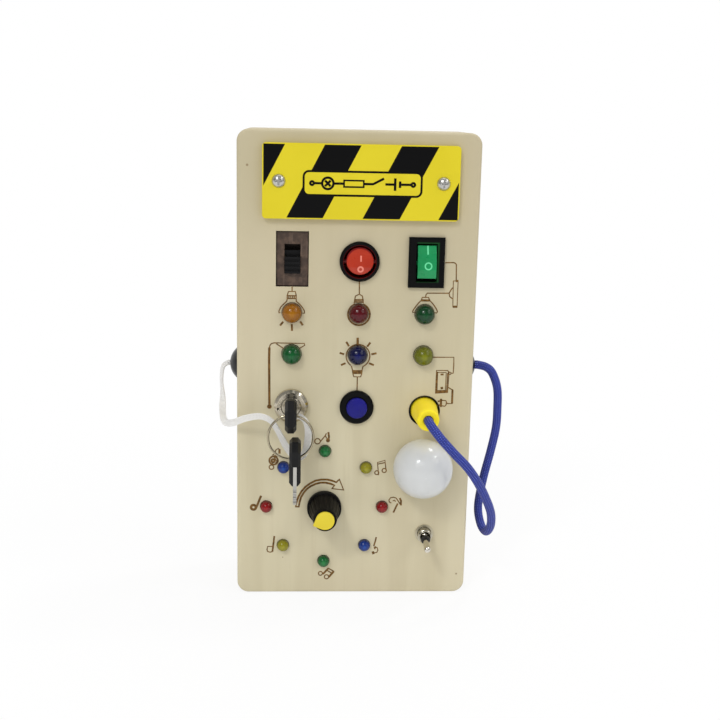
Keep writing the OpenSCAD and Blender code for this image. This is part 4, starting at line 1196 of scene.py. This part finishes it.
@dataclass
class KeyLock:
    """Key lock with its two keys on a ring, and the white lace."""

    lace_width: float = 2.4
    lace_thick: float = 0.5
    rolls: Plan = ((0.0, 40), (0.14, 60), (0.3, -30), (0.45, 10), (0.62, 35), (0.8, -20), (1.0, 15))
    widths: Plan = ((0.0, 1.0), (0.05, 1.0), (0.15, 1.15), (0.45, 1.3), (0.9, 1.25), (0.97, 1.0), (1.0, 1.0))
    route: Route = Route((
        (-50.25, 0, 99.2), (-54.05, 0, 99.2), (-54.7, 0, 99.2), (-57, -0.6125, 97.6),
        (-57.6, -3.025, 93), (-56.9, -7.4375, 86), (-56.5, -13.25, 80), (-55, -19.0625, 77.5),
        (-51.5, -23.875, 78.5), (-46, -27.6875, 81.5), (-40, -30, 83), (-35.5, -31, 81.5),
        (-33, -29.5, 77.5), (-31, -27, 73), (-29, -25, 68.5), (-26, -25, 64.8),
        (-23, -26, 64.2), (-20.8, -27.7, 67.6), (-19.8, -29.1, 74.6), (-20.4, -30.3, 79.6),
        (-22, -30.7, 82.4), (-24, -30.7, 83.4)))

    def build(self) -> None:
        """Dresses the lock and lays the lace."""
        dress(Metal("lock_chrome", tone(196, 188, 170), 0.16, turned=LOCK_PLACE, tarnish=0.6,
                    dimple_shade=(-32.6, 84.4, 0.5)), "lock_barrel", "lock_cylinder")
        dress(STEEL, "lock_nut")
        dress(Metal("key_metal", tone(196, 194, 188), 0.3, tarnish=0.4), "key_blade", "spare_key_blade")
        # painted reflection: the ring's steel is tinted tan like the wood that it mirrors
        dress(Metal("ring_wire_painted_reflection", tone(176, 166, 142), 0.2, tarnish=0.3), "key_ring")
        dress(Moulded("key_grip", tone(14, 14, 15), roughness=0.42, gloss=0.25, skin=0.05, grain=2400,
                      edge=0.4), "key_grip", "spare_key_grip")
        self.lay_lace()

    def lay_lace(self) -> None:
        """Makes the lace, from the left outlet to the key."""
        line = self.route.line()
        lace = Sweep(tuple(line), flat_section(self.lace_width, self.lace_thick), rolls=self.rolls,
                     widths=self.widths).build("woven_lace")
        lace.data.materials.append(material_of(Weave(width=self.lace_width)))
        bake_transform(lace)
        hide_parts("key_lace")
        LOG.info("piece %s bends between board and key", lace.name)


@dataclass
class CordedPlug:
    """Yellow plug in its black socket, with the blue braided cord to the right outlet."""

    cord_width: float = 3.8
    drawn_in: float = 0.99  # share of the width that the sheath's section has
    route: Route = Route((
        (29.8, -34.1, 83.2), (29.8, -36.1, 83.2), (29.8, -37.2, 83.2), (30.5, -40.9, 82.3),
        (32.5, -43.9, 80), (35.3, -45, 76.7), (40.3, -44.2, 71.2), (46, -41.8, 64.9),
        (51, -38.2, 57.5), (55.5, -33, 49), (59.5, -26, 39.5), (61, -19, 31),
        (60.3, -12, 25.5), (58.8, -6, 27), (58, -2, 34), (60, 0, 46),
        (63, 0, 60), (64.8, 0, 70.5), (65, 0, 80), (64.5, 0, 88.5),
        (62.1, 0, 95.2), (59.2, 0, 98.1), (55.2, 0, 99.2), (54.1, 0, 99.2),
        (50.25, 0, 99.2)))

    def build(self) -> None:
        """Dresses the plug and lays the cord."""
        dress(BLACK, "plug_socket")
        dress(Moulded("plug_lacquer", tone(255, 230, 42), tone(252, 222, 36), roughness=0.45, gloss=0.2,
                      soft_light=0.3, edge=0.3), "plug_body")
        dress(STEEL, "plug_pin")
        dress(Moulded("outlet_black", tone(16, 16, 18), roughness=0.3, gloss=0.35, edge=0.3),
              "cord_outlet", "lace_outlet")
        line = list(reversed(self.route.line()))
        cord = Sweep(tuple(line), ring_points(self.cord_width / 2 * self.drawn_in, 20), carried=True,
                     facing=(0, 0, 1)).build("braided_cord")
        cord.data.materials.append(material_of(Braid()))
        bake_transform(cord)
        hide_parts("plug_cord")
        LOG.info("piece %s bends between board and plug", cord.name)


@dataclass
class RoundBulb:
    """Milky bulb on its base."""

    def build(self) -> None:
        """Dresses the bulb."""
        dress(Moulded("milky_shell", tone(216, 218, 218), tone(210, 213, 214), roughness=0.3, coat=0.8,
                      gloss=0.1, skin=0.002, soft_light=0.5, edge=0.0), "bulb_globe")
        dress(Moulded("bulb_base", tone(224, 221, 210), roughness=0.5), "bulb_base")


@dataclass
class LeverSwitch:
    """Lever switch with its threaded collar."""

    thread: float = 0.6

    def build(self) -> None:
        """Dresses the lever switch."""
        dress(Metal("collar_thread", tone(196, 192, 180), 0.22, thread=self.thread, tarnish=0.2), "toggle_body")
        dress(Metal("washer_plate", tone(196, 188, 164), 0.34), "toggle_washer")
        dress(Metal("lever_chrome", tone(216, 211, 200), 0.16, tarnish=0.2), "toggle_lever")
        dress(Moulded("lever_sleeve", tone(26, 25, 24), roughness=0.5), "toggle_sleeve")


@dataclass
class RotaryKnob:
    """Rotary switch with its fluted knob and yellow pointer cap."""

    def build(self) -> None:
        """Dresses the knob."""
        dress(STEEL, "rotary_body", "rotary_nut", "rotary_shaft")
        dress(Moulded("knob_black", tone(14, 13, 12), tone(10, 9, 9), roughness=0.5, skin=0.02,
                      grain=1800, gloss=0.1, edge=0.25), "knob_body")
        dress(Moulded("pointer_yellow", tone(226, 206, 58), tone(220, 198, 48), roughness=0.45,
                      gloss=0.25, edge=0.2), "knob_pointer")


@dataclass
class BatteryBox:
    """Battery box in the back."""

    def build(self) -> None:
        """Dresses the battery box."""
        dress(Moulded("battery_black", tone(30, 30, 31), roughness=0.5, skin=0.06, grain=2000),
              "battery_tray", "battery_lid")
        dress(Moulded("cell_sleeve", tone(44, 66, 116), roughness=0.3, coat=0.3), "battery_cells")
        dress(STEEL, "battery_lid_screw")


class Tint(Enum):
    """Tint of a lamp: its rim, darkened as painted shade, its body, and its heart, paled as painted light."""

    ORANGE = (tone(82, 46, 4), tone(142, 88, 8), tone(160, 104, 12))
    CRIMSON = (tone(48, 4, 6), tone(78, 5, 12), tone(86, 10, 22))
    FOREST = (tone(6, 34, 14), tone(8, 56, 26), tone(12, 70, 34))
    GREEN = (tone(4, 42, 16), tone(10, 76, 34), tone(16, 92, 44))
    BLUE = (tone(3, 5, 30), tone(6, 10, 56), tone(10, 18, 84))
    OLIVE = (tone(58, 60, 6), tone(98, 102, 14), tone(122, 126, 24))
    SMALL_BLUE = (tone(8, 22, 66), tone(16, 48, 124), tone(34, 74, 156))
    SMALL_GREEN = (tone(8, 56, 22), tone(20, 98, 46), tone(40, 128, 66))
    SMALL_GOLD = (tone(88, 84, 8), tone(138, 132, 24), tone(158, 152, 40))
    SMALL_RED = (tone(76, 4, 6), tone(128, 12, 16), tone(152, 26, 26))


@dataclass
class Lamps:
    """Six large lamps in two rows and eight small ones round the knob."""

    large_radius: float = 4.2
    small_radius: float = 2.6
    circle: float = 25.1
    rows: tuple[float, float] = (125.2, 107.5)
    first_angle: float = 135.0  # degrees, of the first small lamp
    small_count: int = 8

    def build(self) -> None:
        """Dresses every lamp."""
        tints = list(Tint)
        for index, tint in enumerate(tints[:6]):
            row, column = divmod(index, len(COLUMNS))
            self.dress_lamp(f"lamp_{tint.name.lower()}", tint, COLUMNS[column], self.rows[row],
                            self.large_radius)
        for index in range(self.small_count):
            angle = math.radians(self.first_angle - 360 / self.small_count * index)
            self.dress_lamp(f"small_lamp_{index}", tints[6 + index % 4],
                            KNOB_PLACE[0] + self.circle * math.cos(angle),
                            KNOB_PLACE[1] + self.circle * math.sin(angle), self.small_radius)

    @staticmethod
    def dress_lamp(node: str, tint: Tint, across: float, up: float, radius: float) -> None:
        """Dresses one lamp at its place."""
        dress(LampLens(node + "_lens", *tint.value, across, up, radius), node)


# Lines burnt into the front, one entry for each figure.
FIGURES = {
    "hanging_bulb": (
        path(-27.1, 136.3, -27.1, 134.1),
        path(-31.9, 125.1, -32.5, 125, -32.5, 125.8, -32.1, 126.7, -31.5, 127.8, -30.7, 128.6, -29.9, 129.4,
             -29.3, 130, -29.1, 130.8, -29.1, 132.4, -28.6, 134, -25.8, 134.1, -25.4, 132.5, -25.4, 130.9,
             -25.3, 129.9, -24.3, 129.1, -23.3, 128.1, -22.5, 127, -21.9, 125.9, -21.8, 125, -22.6, 125),
        path(-29.1, 132.3, -25.4, 132.3), path(-29.1, 131.1, -25.4, 131.1),
        path(-28.4, 132.3, -28.4, 131.1), path(-27.6, 132.3, -27.6, 131.1),
        path(-26.8, 132.3, -26.8, 131.1), path(-26.1, 132.3, -26.1, 131.1),
        path(-30.7, 121.3, -32, 119.6, weight=1.4), path(-27.1, 120.3, -27, 117.4, weight=1.4),
        path(-23.6, 121.5, -22.5, 119.8, weight=1.4),
    ),
    "round_switch_bulb": (
        path(0.8, 138.8, 0.9, 133.3),
        path(-1.2, 129.4, -1, 130.9, -0.7, 132.5, 0.9, 133.3, 2.2, 132.5, 2.5, 130.9, 2.6, 129.5),
        path(-0.9, 130.8, 2.4, 130.9, weight=1.3), path(-0.9, 130, 2.5, 130, weight=1.2),
        arc(0.9, 124.75, 4.6, 112, 428, weight=1.3),
    ),
    "square_switch_bulb": (
        path(36.4, 147, 39.9, 147.1, 40.7, 146.8, 41.1, 146.2, 41.3, 139.4),
        path(40.1, 139.4, 42.1, 139.4, 42.1, 128.4, 40.3, 128.5, closed=True),
        path(41.1, 139.4, 42.2, 139.4, weight=1.5), path(40.3, 128.5, 42.2, 128.5, weight=1.5),
        path(40, 136.6, 39.2, 135.5, 38.5, 134.2, 38.8, 132.8, 40.1, 131.8),
        path(38.5, 134.2, 29.4, 134.1, 28.8, 133.4, 28.7, 132.3),
        path(26.9, 131, 27.3, 132.3, 29.9, 132.3, 30.5, 131), path(26.9, 131, 30.5, 131, weight=1.5),
        path(24.6, 126.1, 23.5, 125.8, 23.4, 126.3, 24, 127.4, 24.8, 128.6, 25.9, 130, 26.9, 131),
        path(30.5, 131, 31.5, 130, 32.6, 128.7, 33.4, 127.4, 33.9, 126.4, 33.6, 125.7, 32.7, 125.9),
    ),
    "street_lamp": (
        path(-36.3, 84.8, -36.5, 105.0, -36.4, 110.2, weight=1.6), arc(-36.3, 84.6, 0.5, weight=1.5),
        path(-36.4, 110.0, -36.2, 111.1, -35.5, 111.9, -34.4, 112.2, -21.8, 112.1, -21.6, 111.3,
             -23.9, 109.9),
        path(-33.6, 111.9, -30.4, 109.8),
    ),
    "shining_bulb": (
        arc(0.9, 106.9, 5.01, -61, 234),
        path(-1.9, 102.7, -1.4, 101.1, -1.1, 99.2, -0.7, 97.9, 2.2, 97.9, 2.6, 99.2, 2.8, 101.1,
             3.2, 102.7),
        path(-1.1, 100.5, 2.6, 100.5, weight=1.2), path(-1.1, 99.9, 2.6, 99.9, weight=1.2),
        path(-1.1, 99.4, 2.7, 99.5, weight=1.2), path(0.6, 114.8, 0.6, 112.1, weight=1.6),
        path(-4.2, 113, -3, 111.1, weight=1.4), path(6, 112.8, 4.7, 111, weight=1.4),
        path(-6.9, 108.2, -5, 107.6, weight=1.4), path(8.7, 108.2, 6.5, 107.7, weight=1.4),
        path(-6.2, 102.9, -4.3, 103.8, weight=1.4), path(7.7, 103, 5.6, 103.9, weight=1.4),
        path(0.8, 97.8, 0.8, 91.9),
    ),
    "battery_circuit": (
        path(32.4, 106.7, 41.6, 106.8, 41.7, 103.3, 41.6, 99.9, 40.8, 99.8),
        path(39.4, 100.6, 40.6, 100.1, 40.5, 99.3, 39.6, 99.3, closed=True),
        path(34.4, 101, 39.2, 101, 39.8, 100.1, 39.5, 91.4, 34.3, 91, closed=True),
        path(34.9, 100.1, 38.6, 100.1, 38.5, 92.3, 35, 92.2, closed=True),
        path(34.7, 100.5, 34.7, 91.5, weight=1.4), path(34.5, 91.4, 39.5, 91.8, weight=1.7),
        path(39.2, 99.9, 39.1, 92.1), path(36.2, 99.2, 37.5, 99.3, weight=1.3),
        path(36.4, 93.2, 37.5, 93.4, weight=1.6),
        path(39.5, 93.8, 40.7, 93, 41.6, 92.6, 41.6, 89.9, 41.6, 86.5, 39.6, 86.5, 39.1, 87.1),
        path(41.6, 92.6, 41.6, 89.9, 41.6, 86.5, weight=1.4), path(36.8, 88.6, 36.9, 85, weight=1.5),
        path(36.7, 87.7, 35.4, 87.4, weight=1.2), path(36.8, 85.9, 35.4, 85.6, weight=1.2),
        path(37.2, 87.9, 38.9, 87.8, 39.2, 87, 39.1, 86, 38.5, 85.3, 37.4, 85.5),
    ),
    "turn_arrow": (
        path(-24.7, 39.8, -24.3, 42.3, -23.5, 44.6, -22.3, 46.8, -20.7, 48.8, -18.7, 50.4, -16.3, 51.7,
             -13.8, 52.2, -11.3, 52.2, -9.1, 51.7, -7.3, 51, -6, 52.3, -4.1, 47.5, -9.1, 48.1, -8.1, 49.6,
             -9.7, 50.3, -11.9, 50.8, -14.1, 50.8, -16.3, 50.2, -18.5, 49.1, -20.1, 47.8, -21.4, 46.1,
             -22.5, 44.1, -23.1, 42, -23.4, 39.8, closed=True, weight=1.45),
    ),
    "note_top": (
        arc(-15.7, 69.4, 1.18), path(-14.5, 69.2, -12.4, 71.9, -11.9, 73), path(-12.4, 71.9, -11.3, 70),
        path(-11.1, 73.5, -10.8, 71.4, -11.1, 69.7, weight=1.4), arc(-11.2, 69.8, 0.4, weight=1.5),
    ),
    "note_upper_left": (
        arc(-34.4, 60.7, 1.82, weight=1.3), arc(-34.6, 60.6, 0.65, weight=1.5),
        path(-34.4, 62.5, -33, 60.4, -33.9, 58.8), arc(-35.3, 57.7, 0.97), path(-35.2, 58.7, -34.6, 60.2),
        path(-34.9, 63, -33.8, 64.1, -33.5, 65.4, -32.4, 66.1, -31.7, 65.4, -31.9, 63.8),
        path(-31.9, 65.8, -31.9, 63.8, weight=1.5), arc(-33.4, 62.6, 0.25, weight=1.6),
    ),
    "note_left": (
        arc(-43, 39.5, 1.04, weight=1.7), path(-41.9, 39.1, -41.2, 40.9, -39.7, 44.8, weight=1.5),
    ),
    "note_right": (
        path(10.9, 54.3, 10.3, 60, 13.5, 61, 14.1, 56.5), path(10.5, 59.3, 13.7, 60), arc(10.1, 55.4, 0.86),
        arc(13.3, 56.4, 0.9),
    ),
    "rest_right": (
        path(16.8, 41.6, 15.9, 42.1, 15.7, 43, 16.4, 44, 17.6, 44.3, 18.8, 43.9, 19.6, 42.8, 21, 40.6),
        path(17.4, 42.6, 18.2, 42.9, 18.6, 42.2), path(20.4, 43.9, 21, 42.6, 21, 40.5, weight=1.4),
        path(19.6, 41.4, 18.7, 39.4, 17.8, 37.2, weight=1.3),
    ),
    "note_lower_right": (
        path(10.6, 25.9, 10.3, 24.2, 9.6, 21.7, weight=1.2),
        path(9.6, 21.2, 11.1, 21, 11.5, 19.8, 11, 18.7, 9.1, 18.4), path(8.9, 18.4, 9.9, 18.7, weight=2.0),
        path(9.9, 21, 10.5, 20.8, weight=2.0),
    ),
    "note_bottom": (
        arc(-13.6, 8.9, 0.88), arc(-10.9, 7.3, 0.95),
        path(-10.1, 11.3, -7.8, 9.9, -8.4, 8.9, -10.7, 10.3, closed=True, weight=1.3),
        path(-10.1, 11.3, -12.5, 8.6, weight=1.4), path(-7.8, 9.8, -9.9, 7.2, weight=1.5),
    ),
    "note_lower_left": (
        path(-33.9, 26.3, -34.4, 22, -34.7, 19.1, weight=1.3),
        path(-34.3, 21.5, -36.8, 21.5, -37.1, 20.1, -36.8, 19.2, -35.8, 18.8, -34.7, 19.1),
    ),
}


@dataclass
class BurntFigures:
    """Thin figures burnt into the front: wires, bulbs, a street lamp, an arrow and notes."""

    line_width: float = 0.75
    ridge: float = 0.04

    def build(self) -> None:
        """Burns every figure."""
        wood = Basswood("burnt_line", burnt_line=True, ridge=self.ridge)
        for name, strokes in FIGURES.items():
            piece = draw("figure_" + name, strokes, self.line_width, FRONT, self.ridge)
            settle(piece, Body.BOARD, wood)


# ---------- studio ----------


@dataclass
class Studio:
    """Camera, lamps, backdrop and floor."""

    camera_place: Place = (-24.58, -480.18, 206.36)
    right: Place = (0.9984, -0.0525, 0.0215)
    ahead: Place = (0.0558, 0.9752, -0.2144)
    up: Place = (-0.0097, 0.2152, 0.9765)
    lens: float = 55.87
    sensor: float = 36.0
    aim: Place = (0.0, -0.02, 0.1)  # metres, what every lamp looks at
    lamps: tuple[tuple[str, Place, float, float], ...] = (  # name, place and side in metres, watts
        ("key_lamp", (-1.2, -2.8, 2.4), 2.0, 24.0),
        ("sparkle_lamp", (-0.95, -1.69, 1.86), 0.4, 12.0),
        ("side_sparkle", (1.72, -0.51, 1.97), 0.25, 3.0),
        ("back_sparkle", (0.99, 0.42, 2.47), 0.3, 8.0),
        ("fill_lamp", (2.3, -1.7, 1.9), 1.8, 14.0),
        ("top_lamp", (0.1, 0.2, 1.5), 0.9, 3.0),
        ("rear_lamp", (0.5, 2.6, 1.7), 1.8, 9.0))
    ambient: float = 0.52
    in_front: float = 0.2  # what mirrors see in front, where white is 1
    turns_white: tuple[float, float] = (-0.3, 0.25)  # from where to where mirrors see white, along y
    floor_side: float = 6.0  # metres
    floor_drop: float = 0.0002  # metres
    near_glow: float = 0.88  # share of plain white in the floor beside the box
    whitens: tuple[float, float] = (0.1, 0.34)  # metres, from where to where the floor turns white

    def build(self) -> None:
        """Sets up the studio."""
        self.set_camera()
        self.set_world()
        self.lay_floor()
        for lamp in self.lamps:
            self.add_lamp(*lamp)
        bpy.context.scene.view_settings.view_transform = "Standard"

    def set_camera(self) -> None:
        """Places the camera."""
        camera = add("camera", bpy.data.cameras.new("camera"))
        camera.data.sensor_width = self.sensor
        camera.data.lens = self.lens
        camera.data.clip_start = 0.01
        turn = Matrix([self.right, self.up, [-part for part in self.ahead]]).transposed()
        camera.matrix_world = Matrix.Translation(Vector(self.camera_place) * MM) @ turn.to_4x4()
        bpy.context.scene.camera = camera

    def set_world(self) -> None:
        """Lights all round, shows white behind and lets mirrors see less of it in front."""
        world = bpy.data.worlds.new("studio")
        bpy.context.scene.world = world
        world.use_nodes = True
        tree = Tree(world.node_tree)
        ray = tree.put("ShaderNodeLightPath").outputs
        seen = tree.calc("MAXIMUM", ray["Is Camera Ray"], ray["Is Transmission Ray"])
        behind = tree.band(tree.axis(Axis.Y, "Generated"), *self.turns_white, bottom=self.in_front,
                           kind="LINEAR")
        white = tree.calc("MAXIMUM", seen, tree.times(ray["Is Glossy Ray"], behind))
        strength = tree.calc("MAXIMUM", white, tree.times(ray["Is Diffuse Ray"], self.ambient))
        tree.feed(tree.nodes["Background"], {"Color": (1, 1, 1, 1), "Strength": strength})

    def lay_floor(self) -> None:
        """Lays the pale floor, which keeps the shadow and turns white further out."""
        deselect()
        bpy.ops.mesh.primitive_plane_add(size=self.floor_side, location=(0, 0, -self.floor_drop))
        floor = bpy.context.object
        floor.name = "floor"
        graph = Graph("floor_white")
        graph.finish(Base_Color=tone(246, 246, 246), Roughness=0.9, Specular_IOR_Level=0.1)
        ray = graph.put("ShaderNodeLightPath").outputs
        seen = graph.calc("MAXIMUM", ray["Is Camera Ray"], ray["Is Glossy Ray"])
        seen = graph.calc("MAXIMUM", seen, ray["Is Transmission Ray"])
        away = graph.put("ShaderNodeVectorMath", operation="LENGTH")
        graph.feed(away, {0: graph.coordinates.outputs["Object"]})
        far = graph.band(away.outputs["Value"], *self.whitens)
        glow = graph.calc("MULTIPLY_ADD", far, 1.0 - self.near_glow, self.near_glow)
        mix = graph.put("ShaderNodeMixShader")
        graph.feed(mix, {0: graph.times(seen, glow), 1: graph.shader.outputs[0],
                         2: graph.put("ShaderNodeEmission").outputs[0]})
        graph.feed(graph.nodes["Material Output"], {"Surface": mix.outputs[0]})
        floor.data.materials.append(graph.material)

    def add_lamp(self, name: str, place: Place, size: float, power: float) -> None:
        """Adds a soft lamp that looks at the middle of the board.

        Args:
            name: Name of the lamp.
            place: Its place.
            size: Side of its square.
            power: Its power.
        """
        light = bpy.data.lights.new(name, "AREA")
        light.size = size
        light.energy = power
        lamp = add(name, light)
        lamp.location = place
        lamp.rotation_euler = (Vector(self.aim) - Vector(place)).to_track_quat("-Z", "Y").to_euler()
        lamp.visible_camera = False


def main() -> None:
    """Builds the dressed board."""
    logging.basicConfig(level=logging.INFO, format="%(name)s: %(message)s")
    for part in (Studio(), CordedPlug(), KeyLock(), Box(), WarningPlate(), Switches(), RoundBulb(),
                 LeverSwitch(), RotaryKnob(), Lamps(), BatteryBox(), BurntFigures()):
        part.build()
    deselect()


if __name__ == "__main__":
    main()
